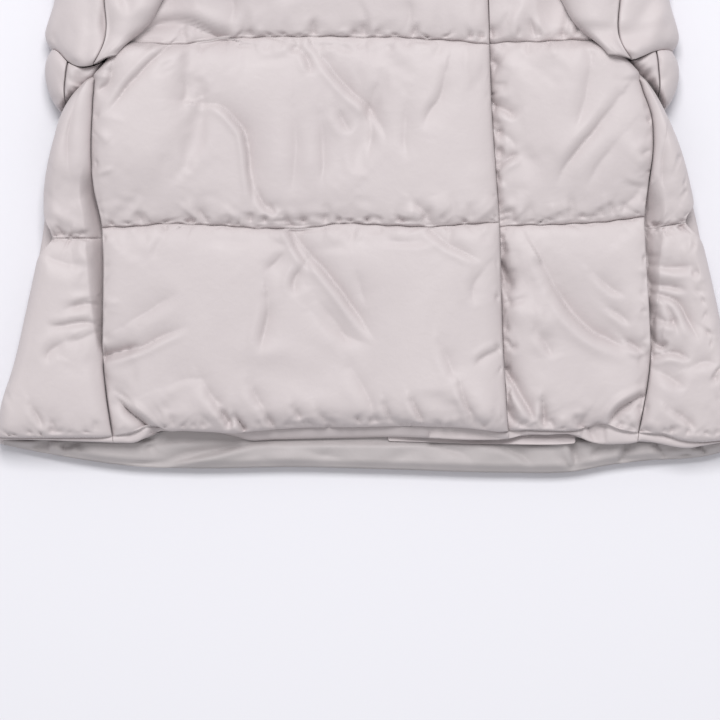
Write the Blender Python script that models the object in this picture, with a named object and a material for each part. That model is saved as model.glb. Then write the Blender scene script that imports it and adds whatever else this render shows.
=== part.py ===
"""A quilted, padded jacket laid flat on its back: two fronts that overlap, side panels, a back, two-piece
sleeves with cuffs, a stand collar, the back hem's facing and the end of the inner wind flap.

Each piece is its own closed padded wall. Sizes are in millimetres and are turned to metres when a mesh is
made. X runs to the wearer's left, Y from the hem to the neck and Z up from the surface the jacket lies on.
Heights along Y are measured from the front hem."""

from collections import namedtuple

import bmesh
import bpy
import numpy as np

MM = 0.001
GAP = 0.3  # between pieces at seams and between layers

# Driving dimensions of the cut
QUILT_LINES = (0, 186, 350, 511, 671)  # stitched lines across the body, from the front hem
SLEEVE_LINES = (337, 490, 645, 815)  # cuff seam, two stitched lines and the top of the sleeve head
CUFF_END = 285
SHOULDER_HEIGHT = 870  # highest shoulder point
SHOULDER_DROP = 50
SHOULDER_REACH = 225
NECK_HALF_WIDTH = 98
FRONT_NECK_DROP = 68
BACK_NECK_DROP = 18
COLLAR_HEIGHT = 56
UNDERLAP = 70  # of the left front, hidden below the right one
FLAP_EDGE = 188
FLAP_WIDTH = 165

# Thicknesses and how high the padding stands
BACK_THICK = 20
BACK_PRESSED = 0.5  # share of a cuff's thickness that still shows above the back, which gives way to it
SEAM_THICK = 8
UNDERLAP_THICK = 7.5
PUFF_RISE = 20
PUFF_RADIUS = 52  # how far from a seam the padding reaches its full height
FACING_THICK = 1
FACING_REACH = 32
FLAP_THICK = 2
LAYER_GAP = 1.2  # between the back and the fronts, whose faces are cut into unlike facets
CUFF_THICK = 17
SLEEVE_RISE = 28
COLLAR_THICK = 12
COLLAR_GAP = 1.5

# How far the body reaches to the wearer's right (-X) and left (+X), and where its front seams run
BodyRow = namedtuple("BodyRow", "height right left right_seam left_seam")
BODY = (
    BodyRow(-40, 326, 331, 214, 240),
    BodyRow(0, 325, 331, 221, 245),
    BodyRow(30, 321, 331, 226, 251),
    BodyRow(64, 310, 326, 230, 256),
    BodyRow(111, 299, 317, 230, 255),
    BodyRow(164, 288, 305, 230, 252),
    BodyRow(191, 284, 299, 232, 251),
    BodyRow(218, 283, 293, 238, 254),
    BodyRow(262, 274, 280, 240, 258),
    BodyRow(285, 267, 270, 239, 256),
    BodyRow(302, 257, 261, 238, 250),
    BodyRow(320, 240, 248, 234, 242),
    BodyRow(340, 213, 220, 206, 213),
    BodyRow(350, 205, 211, 197, 203),
    BodyRow(387, 216, 218, 200, 202),
    BodyRow(476, 220, 222, 196, 198),
    BodyRow(600, 243, 245, 200, 202),
    BodyRow(609, 245, 247, 201, 203),
    BodyRow(690, 245, 247, 206, 206),
)

ArmholeRow = namedtuple("ArmholeRow", "height reach")
ARMHOLE = (
    ArmholeRow(609, 245),
    ArmholeRow(630, 229),
    ArmholeRow(660, 213),
    ArmholeRow(690, 206),
    ArmholeRow(750, 207),
    ArmholeRow(790, 214),
    ArmholeRow(820, 225),
)

# The free edge of the right front, which crosses to the wearer's left
PlacketRow = namedtuple("PlacketRow", "height edge")
PLACKET = (
    PlacketRow(-10, 130),
    PlacketRow(84, 124),
    PlacketRow(184, 121),
    PlacketRow(289, 114),
    PlacketRow(387, 111),
    PlacketRow(609, 100),
    PlacketRow(860, 89),
)

HemRow = namedtuple("HemRow", "place front back")
HEM = (
    HemRow(-330, -3, -7),
    HemRow(-286, -3, -16),
    HemRow(-206, -6, -28),
    HemRow(-157, 4, -30),
    HemRow(-55, 6, -29),
    HemRow(25, 8, -31),
    HemRow(130, 2, -34),
    HemRow(189, 3, -33),
    HemRow(222, -6, -27),
    HemRow(256, -3, -23),
    HemRow(292, -10, -21),
    HemRow(335, -7, -11),
)

# The sleeve lying down along the body's side: both its edges, and the seam on its upper face
SleeveRow = namedtuple("SleeveRow", "height inner outer seam")
SLEEVE = (
    SleeveRow(337, 221, 277, 238),
    SleeveRow(343, 216, 281, 232),
    SleeveRow(350, 209, 283, 228),
    SleeveRow(360, 196, 281, 226),
    SleeveRow(387, 176, 274, 228),
    SleeveRow(420, 158, 273, 227),
    SleeveRow(490, 150, 284, 231),
    SleeveRow(560, 160, 296, 244),
    SleeveRow(605, 172, 301, 254),
    SleeveRow(645, 189, 302, 249),
    SleeveRow(690, 207, 298, 244),
    SleeveRow(750, 208.5, 286, 242),
    SleeveRow(790, 215.5, 264, 239),
    SleeveRow(815, 224.5, 238, 231),
)

CuffRow = namedtuple("CuffRow", "height inner outer seam")
CUFF = (
    CuffRow(285, 206, 266, 258),
    CuffRow(291, 199, 272, 262),
    CuffRow(305, 197, 280, 264),
    CuffRow(320, 202, 283, 263),
    CuffRow(330, 211, 281, 262),
    CuffRow(336.5, 220, 277, 261),
)

# The largest creases in the outer cloth: where each starts and ends, its depth and its half-width
Crease = namedtuple("Crease", "start end depth width")
CREASES = (
    Crease((-170, 343), (-228, 286), 5, 11),
    Crease((-216, 30), (-186, 0), 11, 8),
    Crease((-45, 350), (22, 300), 4, 10),
    Crease((-102, 320), (-102, 230), 4, 10),
    Crease((-62, 180), (18, 68), 5, 11),
    Crease((172, 150), (252, 82), 7, 13),
    Crease((124, 52), (160, 6), 8, 9),
    Crease((218, 4), (246, 36), 7, 9),
)

JACKET = "quilted_jacket"
RIGHT = -1  # the wearer's right lies at -X
LEFT = 1
SIDE_NAMES = {RIGHT: "right", LEFT: "left"}

CENTRE_X = (BODY[1].left - BODY[1].right) / 2
CENTRE_Y = (SHOULDER_HEIGHT + COLLAR_GAP + COLLAR_HEIGHT + min(row.back for row in HEM)) / 2

SHELL = ("shell_nylon", (0.69, 0.62, 0.62), 0.58)
FACING = ("facing_nylon", (0.63, 0.58, 0.58), 0.62)


def column(rows, name):
    return [getattr(row, name) for row in rows]


def follow(rows, name, at, along="height"):
    """Reads a smooth curve through one column of a table."""
    places = np.array(column(rows, along), float)
    values = np.array(column(rows, name), float)
    slopes = np.gradient(values, places)
    at = min(max(at, places[0]), places[-1])
    i = min(max(int(np.searchsorted(places, at)) - 1, 0), len(places) - 2)
    span = places[i + 1] - places[i]
    t = (at - places[i]) / span
    return float(
        (2 * t**3 - 3 * t**2 + 1) * values[i]
        + (t**3 - 2 * t**2 + t) * span * slopes[i]
        + (3 * t**2 - 2 * t**3) * values[i + 1]
        + (t**3 - t**2) * span * slopes[i + 1]
    )


def ramp(value, start, end):
    """Goes smoothly from 0 at start to 1 at end."""
    t = min(max((value - start) / (end - start), 0), 1)
    return t * t * (3 - 2 * t)


def round_rise(distance, radius=PUFF_RADIUS):
    """A quarter circle: 0 at a seam, steep beside it, and 1 from the radius on."""
    t = 1 - min(max(distance / radius, 0), 1)
    return (1 - t * t) ** 0.5


def body_edge(side, y):
    """How far the body reaches at a height, to its side seam and then to its armhole."""
    if y > ARMHOLE[0].height:
        return follow(ARMHOLE, "reach", y)
    return follow(BODY, SIDE_NAMES[side], y)


def seam_edge(side, y):
    """The front seam between front and side panel, and above its end the armhole."""
    if y > BODY[-1].height:
        return body_edge(side, y)
    return follow(BODY, SIDE_NAMES[side] + "_seam", y)


def shoulder_line(x):
    past_neck = (abs(x) - NECK_HALF_WIDTH) / (SHOULDER_REACH - NECK_HALF_WIDTH)
    return SHOULDER_HEIGHT - SHOULDER_DROP * max(past_neck, 0)


def neckline(x, drop):
    inside = max(1 - (x / NECK_HALF_WIDTH) ** 2, 0)
    return shoulder_line(x) - drop * inside**0.6


def over_cuff(x, y):
    """1 where the body lies on a cuff, falling to 0 around it."""
    return ramp(abs(x), 140, 194) * ramp(y, 205, 268) * (1 - ramp(y, 338, 352))


def cuff_lift(x, y):
    """How far the body rises where it lies over a cuff."""
    return (CUFF_THICK + 1.5) * over_cuff(x, y)


def line_distance(y, lines):
    return min(abs(y - line) for line in lines)


def crease_depth(x, y):
    """The creases pressed into the fronts, deepest halfway along each."""
    total = 0
    for crease in CREASES:
        run = np.subtract(crease.end, crease.start)
        t = float(np.dot(np.subtract((x, y), crease.start), run) / np.dot(run, run))
        t = min(max(t, 0), 1)
        off = np.linalg.norm(np.subtract((x, y), np.add(crease.start, t * run)))
        total += crease.depth * (0.4 + 0.6 * np.sin(np.pi * t)) * np.exp(-((off / crease.width) ** 2))
    return float(total)


def back_top(x, y):
    """The upper face of the back, which thins to its edges and falls away towards its hem."""
    inside = body_edge(RIGHT if x < 0 else LEFT, y) - abs(x)
    rim = 4 * (1 - round_rise(inside, 18))
    hem_fall = 10 * (1 - ramp(y, -26, 34))
    return BACK_THICK - rim - hem_fall + BACK_PRESSED * cuff_lift(x, y)


def back_under(x, y):
    """The face it rests on: flat, with shallow troughs along the stitched lines and a rounded edge."""
    inside = body_edge(RIGHT if x < 0 else LEFT, y) - abs(x)
    trough = 2.5 * np.exp(-((line_distance(y, QUILT_LINES[1:]) / 5) ** 2))
    rim = 5 * (1 - round_rise(inside, 12))
    return float(trough) + rim + cuff_lift(x, y)


def front_under(x, y):
    """The lower face of the fronts, on the back; near the hem it stays up and leaves the hem open."""
    inside = body_edge(RIGHT if x < 0 else LEFT, y) - abs(x)
    hem_rise = 2.5 * (1 - ramp(y, 22, 70)) * ramp(inside, 0, 60)
    slope = over_cuff(x, y)
    slack = 2 * GAP + (LAYER_GAP - 2 * GAP) * ramp(inside, 0, 12)
    slack += 10 * slope * (1 - slope)
    slack += 1.6 * ramp(abs(x), 100, 135) * ramp(y, 180, 225) * ramp(inside, 0, 20)
    return BACK_THICK - 4 * (1 - round_rise(inside, 18)) + BACK_PRESSED * cuff_lift(x, y) + slack + hem_rise


def underlap_top(x, y):
    return front_under(x, y) + UNDERLAP_THICK


def pressed(x, y):
    """1 where a sleeve lies on the body and presses it flatter."""
    return ramp(abs(x), 135, 175) * ramp(y, 352, 400) * (1 - ramp(y, 650, 700))


def puff(x, y, seam_distance, lines=QUILT_LINES):
    """How high the padding stands above the seams."""
    rise = PUFF_RISE * (1 - 0.65 * pressed(x, y))
    near_line = round_rise(line_distance(y, lines))
    return rise * round_rise(seam_distance) * near_line - crease_depth(x, y) * near_line**0.5


def top_distance(x, y):
    return neckline(x, FRONT_NECK_DROP) - y


def right_front_top(x, y):
    edge = follow(PLACKET, "edge", y)
    distance = min(abs(seam_edge(RIGHT, y) + x), edge - x + 4, top_distance(x, y) + 2)
    over = 7 * ramp(x, edge - UNDERLAP - 60, edge - UNDERLAP + 10)
    return front_under(x, y) + SEAM_THICK + over + puff(x, y, distance)


def right_front_under(x, y):
    edge = follow(PLACKET, "edge", y)
    over = (UNDERLAP_THICK + 3 * GAP) * ramp(x, edge - UNDERLAP - 26, edge - UNDERLAP - 8)
    return front_under(x, y) + over


def left_front_top(x, y):
    edge = follow(PLACKET, "edge", y)
    if x < edge + 2.5:
        return underlap_top(x, y)
    distance = min(abs(seam_edge(LEFT, y) - x), x - edge + 6, top_distance(x, y) + 2)
    return front_under(x, y) + SEAM_THICK + puff(x, y, distance)


def side_lines(side):
    """The stitched lines of the side panels sit a little lower than those of the fronts."""
    return (QUILT_LINES[0], QUILT_LINES[1] - (11 if side == RIGHT else 4)) + QUILT_LINES[2:]


def side_top(side, x, y):
    inside = body_edge(side, y) - abs(x)
    from_seam = abs(x) - seam_edge(side, y)
    return (
        front_under(x, y)
        + SEAM_THICK
        + puff(x, y, min(from_seam, inside) * 1.3, side_lines(side))
    )


def body_top(x, y):
    """The highest face of the body, which the sleeves lie on."""
    side = RIGHT if x < 0 else LEFT
    if abs(x) > seam_edge(side, y) and y < BODY[-1].height:
        return side_top(side, x, y)
    return right_front_top(x, y) if x < follow(PLACKET, "edge", y) else left_front_top(x, y)


def sleeve_floor(side, reach, y):
    """What the sleeve lies on: the body, and past its edge the surface below."""
    edge = body_edge(side, y)
    underarm = 5 * np.exp(-(((y - ARMHOLE[0].height) / 20) ** 2))
    held = body_top(side * min(reach, edge - 1), y) + 5.5 + underarm
    past_edge = min(max((reach - edge - 4) / 22, 0), 1)
    return held * (1 - past_edge)


def sleeve_fullness(y):
    """The sleeve is drawn in at its stitched lines and closes at its head."""
    drawn = round_rise(line_distance(y, SLEEVE_LINES[:3]), 45)
    return (0.45 + 0.55 * drawn) * (0.5 + 0.5 * round_rise(SLEEVE_LINES[3] - y + 6, 60))


def sleeve_faces(side, rows, reach, y):
    """Heights of the sleeve's lower and upper face at a reach from the middle."""
    inner = follow(rows, "inner", y)
    outer = follow(rows, "outer", y)
    across = min(max((reach - inner) / (outer - inner), 0), 1) * 2 - 1
    bulge = max(1 - abs(across) ** 2.6, 0) ** (1 / 2.6)
    floor = sleeve_floor(side, reach, y)
    inner_edge = max(sleeve_floor(side, inner, y) + 6, 22)
    middle = inner_edge + (18 - inner_edge) * (across + 1) / 2
    low = max(floor, middle - SLEEVE_RISE * 1.4 * bulge)
    off_seam = (reach - follow(rows, "seam", y)) / 7
    high = max(middle + SLEEVE_RISE * sleeve_fullness(y) * bulge, low + 10 * bulge)
    trough = 5 * np.exp(-(off_seam**2)) * bulge
    return low, high - trough, (low + high) / 2


def cuff_faces(side, rows, reach, y):
    """The cuff is thin where it lies below the body, and full outside it."""
    inner = follow(rows, "inner", y)
    outer = follow(rows, "outer", y)
    across = min(max((reach - inner) / (outer - inner), 0), 1) * 2 - 1
    bulge = max(1 - abs(across) ** 2.6, 0) ** (1 / 2.6)
    free = ramp(reach - body_edge(side, y), 3, 26)
    full = 20 * free * round_rise(min(y - CUFF_END + 3, SLEEVE_LINES[0] - y + 3), 24)
    off_seam = (reach - follow(rows, "seam", y)) / 5
    middle = CUFF_THICK / 2 + 5 * free
    low = middle * (1 - bulge)
    high = middle + (CUFF_THICK / 2 + full) * bulge
    trough = 3 * np.exp(-(off_seam**2)) * bulge * free
    return low, high - trough, (low + high) / 2


def make_material(look):
    name, colour, roughness = look
    material = bpy.data.materials.get(name) or bpy.data.materials.new(name)
    material.use_nodes = True
    shader = material.node_tree.nodes["Principled BSDF"]
    shader.inputs["Base Color"].default_value = (*colour, 1)
    shader.inputs["Roughness"].default_value = roughness
    shader.inputs["Metallic"].default_value = 0
    return material


def padded_wall(name, across, along, outside, inside, look=SHELL):
    """A closed padded piece: a grid laid on its outer face, and the same grid on its inner face."""
    bm = bmesh.new()
    columns, rows = len(across) - 1, len(along) - 1
    bmesh.ops.create_grid(bm, x_segments=columns, y_segments=rows, size=0.5)
    stations = {}
    for vert in bm.verts:
        u = across[round((vert.co.x + 0.5) * columns)]
        v = along[round((vert.co.y + 0.5) * rows)]
        stations[vert] = (u, v)
    face_copy = bmesh.ops.extrude_face_region(bm, geom=bm.faces[:], use_keep_orig=True)
    outer_verts = [item for item in face_copy["geom"] if isinstance(item, bmesh.types.BMVert)]
    where = {tuple(vert.co): station for vert, station in stations.items()}
    targets = [(vert, outside(*where[tuple(vert.co)])) for vert in outer_verts]
    targets += [(vert, inside(*station)) for vert, station in stations.items()]
    for vert, (x, y, z) in targets:
        vert.co = ((x - CENTRE_X) * MM, (y - CENTRE_Y) * MM, z * MM)
    bmesh.ops.triangulate(bm, faces=bm.faces[:])
    bmesh.ops.recalc_face_normals(bm, faces=bm.faces[:])
    mesh = bpy.data.meshes.new(name)
    bm.to_mesh(mesh)
    bm.free()
    mesh.shade_smooth()
    mesh.set_sharp_from_angle(angle=0.9)
    mesh.materials.append(make_material(look))
    piece = bpy.data.objects.new(name, mesh)
    bpy.data.collections[JACKET].objects.link(piece)
    return piece


def cell_stations(lines, top, shares=(0, 0.06, 0.28, 0.72, 0.94)):
    """Rows for a run of quilted cells: close together beside each stitched line."""
    ends = list(lines) + [top]
    rows = [low + share * (high - low) for low, high in zip(ends, ends[1:]) for share in shares]
    return rows + [top]


def panel(name, across, along, place, under, top, look=SHELL):
    """A panel that lies flat: place gives its plan, under and top its two faces."""

    def outside(u, v):
        x, y = place(u, v)
        return x, y, top(x, y)

    def inside(u, v):
        x, y = place(u, v)
        return x, y, under(x, y)

    return padded_wall(name, across, along, outside, inside, look)


def stretch(v, start, nominal, real):
    """Moves a height above start so that the nominal end falls on the real one."""
    return v if v <= start else start + (v - start) * (real - start) / (nominal - start)


SHOULDER_ROW = SHOULDER_HEIGHT - SHOULDER_DROP
BODY_ROWS = sorted(cell_stations(QUILT_LINES, SHOULDER_ROW) + [268])
NECK_EDGE = follow(PLACKET, "edge", SHOULDER_ROW)
RIGHT_NECK = (SHOULDER_REACH - NECK_HALF_WIDTH) / (SHOULDER_REACH + NECK_EDGE)
LEFT_NECK = (NECK_HALF_WIDTH - NECK_EDGE) / (SHOULDER_REACH - NECK_EDGE)
RIGHT_COLUMNS = (0, 0.03, 0.11, 0.25, RIGHT_NECK, 0.45, 0.53, 0.64, 0.757, 0.8, 0.9, 0.97, 1)
LEFT_COLUMNS = (-1, -0.5, 0.004, 0.035, LEFT_NECK, 0.2, 0.5, 0.8, 0.95, 1)


def hem_shift(name, x, v):
    """Moves the rows of the lowest cell down or up to the hem's own line."""
    return follow(HEM, name, x, "place") * (1 - min(v / QUILT_LINES[1], 1)) ** 2


def body_place(x, v, hem, neck_drop):
    y = stretch(v, QUILT_LINES[-1], SHOULDER_ROW, neckline(x, neck_drop))
    return x, y + hem_shift(hem, x, v)


def back_place(u, v):
    reach = body_edge(RIGHT, v) if u < 0 else body_edge(LEFT, v)
    return body_place(u * reach, v, "back", BACK_NECK_DROP)


BACK_HALF = (0.12, NECK_HALF_WIDTH / SHOULDER_REACH, 0.57, 0.74, 0.9, 0.97, 1)
BACK_COLUMNS = [-u for u in reversed(BACK_HALF)] + list(BACK_HALF)


def make_back():
    panel("back", BACK_COLUMNS, BODY_ROWS, back_place, back_under, back_top)


def facing_top(x, y):
    return back_top(x, y) + GAP + FACING_THICK


def make_back_facing():
    """The strip that finishes the inside of the back's hem, made from the back's own points, moved out."""
    rows = [v for v in BODY_ROWS if v < FACING_REACH] + [FACING_REACH]
    panel(
        "hem_facing_back",
        BACK_COLUMNS[1:-1],
        rows,
        back_place,
        lambda x, y: back_top(x, y) + GAP,
        facing_top,
        FACING,
    )


def make_wind_flap():
    """The lower end of the flap inside the placket, lying on the facing."""
    across = [u for u in BACK_COLUMNS if FLAP_EDGE - FLAP_WIDTH < u * BODY[1].left < FLAP_EDGE + 8]
    panel(
        "wind_flap",
        across,
        (19, 31.6),
        back_place,
        lambda x, y: facing_top(x, y) + 3 * GAP,
        lambda x, y: facing_top(x, y) + 3 * GAP + FLAP_THICK,
        FACING,
    )


def make_right_front():
    def place(u, v):
        start = -seam_edge(RIGHT, v) + GAP
        x = start + u * (follow(PLACKET, "edge", v) - start)
        return body_place(x, v, "front", FRONT_NECK_DROP)

    panel("front_right", RIGHT_COLUMNS, BODY_ROWS, place, right_front_under, right_front_top)


def make_left_front():
    """Left of the placket it is the thin underlap, and past it a padded front."""

    def place(u, v):
        edge = follow(PLACKET, "edge", v)
        x = edge + (u * UNDERLAP if u < 0 else u * (seam_edge(LEFT, v) - GAP - edge))
        return body_place(x, v, "front", FRONT_NECK_DROP)

    panel("front_left", LEFT_COLUMNS, BODY_ROWS, place, front_under, left_front_top)


def make_side(side):
    armhole_low, armhole_high = ARMHOLE[0].height, BODY[-1].height
    line_drop = QUILT_LINES[1] - side_lines(side)[1]

    def place(u, v):
        armhole = armhole_low + (armhole_high - armhole_low) * (1 - u) ** 2
        near_line = np.exp(-(((v - QUILT_LINES[1]) / 60) ** 2))
        y = stretch(v, QUILT_LINES[-2], armhole_high, armhole)
        y -= line_drop * min(u / across[1], 1) * near_line
        inner, outer = seam_edge(side, y) + GAP, follow(BODY, SIDE_NAMES[side], y)
        x = side * (inner + u * (outer - inner))
        return x, y + hem_shift("front", x, v)

    across = (0, 0.12, 0.4, 0.75, 0.94, 1)
    rows = [v for v in BODY_ROWS if v < armhole_high - 5] + [armhole_high]
    panel(f"side_{SIDE_NAMES[side]}", across, rows, place, front_under, lambda x, y: side_top(side, x, y))


def tube_stations(legs, steps):
    """Stations round a flattened tube's piece. A leg runs between two of the tube's lines on one face
    of it: 1 is the upper face, -1 the lower one, and 0 the fold where one turns into the other."""
    folds = ("inner", "outer")
    stations = []
    for start, end, face in legs:
        for i in range(steps + 1):
            share = i / steps
            if start in folds and end in folds:
                share = (1 - np.cos(np.pi * share)) / 2
            elif end in folds:
                share = np.sin(np.pi / 2 * share)
            else:
                share = 1 - np.cos(np.pi / 2 * share)
            at_fold = (i == 0 and start in folds) or (i == steps and end in folds)
            if i == 0 and stations:
                continue
            stations.append((start, end, float(share), 0 if at_fold else face))
    return stations


def tube_piece(name, side, rows, faces, legs, steps, along, wall):
    """A piece of a flattened tube, whose layers lie on each other with a small gap in its middle."""

    def line(which, other, v):
        place = follow(rows, which, v)
        return place + (GAP * np.sign(follow(rows, other, v) - place) if which == "seam" else 0)

    def reach_at(station, v):
        start, end, share, face = station
        begin, finish = line(start, end, v), line(end, start, v)
        return begin + (finish - begin) * share

    def outside(station, v):
        reach = reach_at(station, v)
        low, high, middle = faces(side, rows, reach, v)
        return side * reach, v, {1: high, 0: middle, -1: low}[station[3]]

    def inside(station, v):
        inner, outer = follow(rows, "inner", v), follow(rows, "outer", v)
        middle, half = (inner + outer) / 2, (outer - inner) / 2
        reach = reach_at(station, v)
        off = abs(reach - middle) / half
        drawn = middle + (reach - middle) * (1 - min(wall / half, 0.4) * off**3)
        return side * drawn, v, faces(side, rows, drawn, v)[2] + station[3] * GAP

    padded_wall(name, tube_stations(legs, steps), along, outside, inside)


OUTER_PIECE = (("seam", "outer", 1), ("outer", "seam", -1))
INNER_PIECE = (("seam", "inner", -1), ("inner", "seam", 1))
WHOLE_CUFF = (("seam", "outer", 1), ("outer", "inner", -1), ("inner", "seam", 1))


def make_sleeve(side):
    along = cell_stations(SLEEVE_LINES[:-1], SLEEVE_LINES[-1], (0, 0.07, 0.3, 0.7, 0.93))
    along[0] += GAP
    for part, legs in (("outer", OUTER_PIECE), ("inner", INNER_PIECE)):
        name = f"sleeve_{SIDE_NAMES[side]}_{part}"
        tube_piece(name, side, SLEEVE, sleeve_faces, legs, 5, along, 9)
    cuff_length = SLEEVE_LINES[0] - GAP - CUFF_END
    cuff_rows = [CUFF_END + share * cuff_length for share in (0, 0.12, 0.4, 0.7, 0.9, 1)]
    tube_piece(f"cuff_{SIDE_NAMES[side]}", side, CUFF, cuff_faces, WHOLE_CUFF, 6, cuff_rows, 5)


def make_collar():
    """A band round the neck, laid flat: its back half lies below, its front half on top. It starts at
    the right front's free edge, goes round the neck and ends below its own start, lapped as the fronts."""
    half = COLLAR_THICK / 2
    low = half + GAP
    high = BACK_THICK + LAYER_GAP + half
    lapped = high + COLLAR_THICK + 1.2
    fold = NECK_HALF_WIDTH
    radius = (high - low) / 2
    start = NECK_EDGE
    turn = [np.pi * i / 4 for i in range(1, 4)]

    # The middle of the band's thickness as it goes round: x, z, and the way its outer face looks
    front = [u * (start + SHOULDER_REACH) - SHOULDER_REACH for u in reversed(RIGHT_COLUMNS)]
    front = [x for x in front if x > -fold + 1] + [-fold]
    route = [(x, high + (lapped - high) * ramp(x, -30, start - UNDERLAP), 0, 1) for x in front]
    centre = low + radius
    bends = [(float(np.sin(a)), float(np.cos(a))) for a in turn]
    route += [(-fold - radius * out, centre + radius * up, -out, up) for out, up in bends]
    behind = [u * SHOULDER_REACH for u in BACK_COLUMNS if abs(u) * SHOULDER_REACH < fold + 1]
    route += [(x, low, 0, -1) for x in behind]
    route += [(fold + radius * out, centre - radius * up, out, -up) for out, up in bends]
    lap = [start + u * (UNDERLAP if u < 0 else SHOULDER_REACH - start) for u in reversed(LEFT_COLUMNS)]
    route += [(x, high, 0, 1) for x in lap if x < fold + 1]
    first_back = len(front) + len(turn)

    def point(i, v, side):
        x, z, out_x, out_z = route[i]
        on_back = first_back <= i < first_back + len(behind)
        reach = x + side * out_x * half
        foot = neckline(reach, BACK_NECK_DROP if on_back else FRONT_NECK_DROP) + COLLAR_GAP
        fullness = round_rise(v * COLLAR_HEIGHT, 14) * round_rise((1 - v) * COLLAR_HEIGHT, 14)
        thick = half * (0.45 + 0.55 * fullness)
        return x + side * out_x * thick, foot + v * COLLAR_HEIGHT, z + side * out_z * thick

    padded_wall(
        "collar",
        list(range(len(route))),
        (0, 0.06, 0.22, 0.5, 0.78, 0.94, 1),
        lambda i, v: point(i, v, 1),
        lambda i, v: point(i, v, -1),
    )


def main():
    for old in list(bpy.data.objects):
        bpy.data.objects.remove(old, do_unlink=True)
    jacket = bpy.data.collections.new(JACKET)
    bpy.context.scene.collection.children.link(jacket)
    make_back()
    make_back_facing()
    make_wind_flap()
    make_right_front()
    make_left_front()
    for side in (RIGHT, LEFT):
        make_side(side)
        make_sleeve(side)
    make_collar()


main()
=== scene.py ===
import math

import bmesh
import bpy
import numpy as np
from mathutils import Matrix, Vector


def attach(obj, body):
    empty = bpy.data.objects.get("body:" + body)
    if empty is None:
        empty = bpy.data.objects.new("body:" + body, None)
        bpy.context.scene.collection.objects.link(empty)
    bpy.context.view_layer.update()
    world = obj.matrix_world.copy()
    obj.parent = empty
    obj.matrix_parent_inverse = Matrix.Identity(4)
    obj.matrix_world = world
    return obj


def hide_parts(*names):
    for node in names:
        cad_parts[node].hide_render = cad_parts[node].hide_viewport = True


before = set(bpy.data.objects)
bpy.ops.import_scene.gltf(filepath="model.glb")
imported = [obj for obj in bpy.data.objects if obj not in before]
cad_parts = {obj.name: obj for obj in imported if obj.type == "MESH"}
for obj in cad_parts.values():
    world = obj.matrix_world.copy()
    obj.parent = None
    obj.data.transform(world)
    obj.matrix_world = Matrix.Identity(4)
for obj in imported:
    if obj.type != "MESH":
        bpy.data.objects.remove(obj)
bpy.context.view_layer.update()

# A quilted jacket that lies flat on its back. Sizes are in millimetres in its own plan: x to the wearer's
# left, y from the front hem to the neck, z up from the floor. They become metres, in the frame's place,
# when a mesh gets its points.
mm = 0.001
right, left = -1, 1
sideNames = {right: "right", left: "left"}
gap, seamGap = 0.3, 0.12  # between pieces that lie on each other, and between panels at a seam
quiltLines = np.array([0, 186, 350, 511, 671], float)
hemStitch, hemRoll = 4.6, 24  # the hem's stitches above its edge, and the height of the roll above them
stitchedLines = np.append([hemStitch], quiltLines[1:])
sleeveLines = np.array([337, 490, 645, 815], float)
cuffEnd = 285
shoulderHeight, shoulderDrop, shoulderReach = 870, 50, 225
neckHalfWidth = 98
frontNeckDrop, backNeckDrop = 68, 18
collarHeight, collarThick, collarGap = 56, 12, 1.5
underlap, underlapThick = 70, 7.5
backThick, backPressed = 20, 0.5
seamThick, layerGap = 8, 1.2
cuffThick = 17


def table(names, *rows):
    return dict(zip(names.split(), np.array(rows, float).T))


body = table(
    "height right left rightSeam leftSeam",
    (-40, 326, 331, 214, 240),
    (0, 325, 331, 221, 245),
    (30, 321, 331, 226, 251),
    (64, 310, 326, 230, 256),
    (111, 299, 317, 230, 255),
    (164, 288, 305, 230, 252),
    (191, 284, 299, 232, 251),
    (218, 283, 293, 238, 254),
    (262, 274, 280, 240, 258),
    (285, 267, 270, 239, 256),
    (302, 257, 261, 238, 250),
    (320, 240, 248, 234, 242),
    (340, 222, 230, 206, 213),
    (350, 216, 221, 197, 203),
    (387, 216, 218, 200, 202),
    (476, 220, 222, 196, 198),
    (600, 243, 245, 200, 202),
    (609, 245, 247, 201, 203),
    (690, 245, 247, 206, 206),
)
armhole = table(
    "height reach", (609, 245), (630, 229), (660, 213), (690, 206), (750, 207), (790, 214), (820, 225)
)
placket = table(
    "height edge", (-10, 130), (84, 124), (184, 121), (289, 114), (387, 111), (609, 100), (860, 89)
)
hem = table(
    # The back's hem, away from the straight
    "place back",
    (-330, -7),
    (-286, -16),
    (-264, -20),
    (-206, -28),
    (-157, -30),
    (-55, -29),
    (25, -31),
    (130, -34),
    (189, -33),
    (222, -27),
    (256, -23),
    (292, -21),
    (308, -19),
    (335, -11),
)
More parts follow.
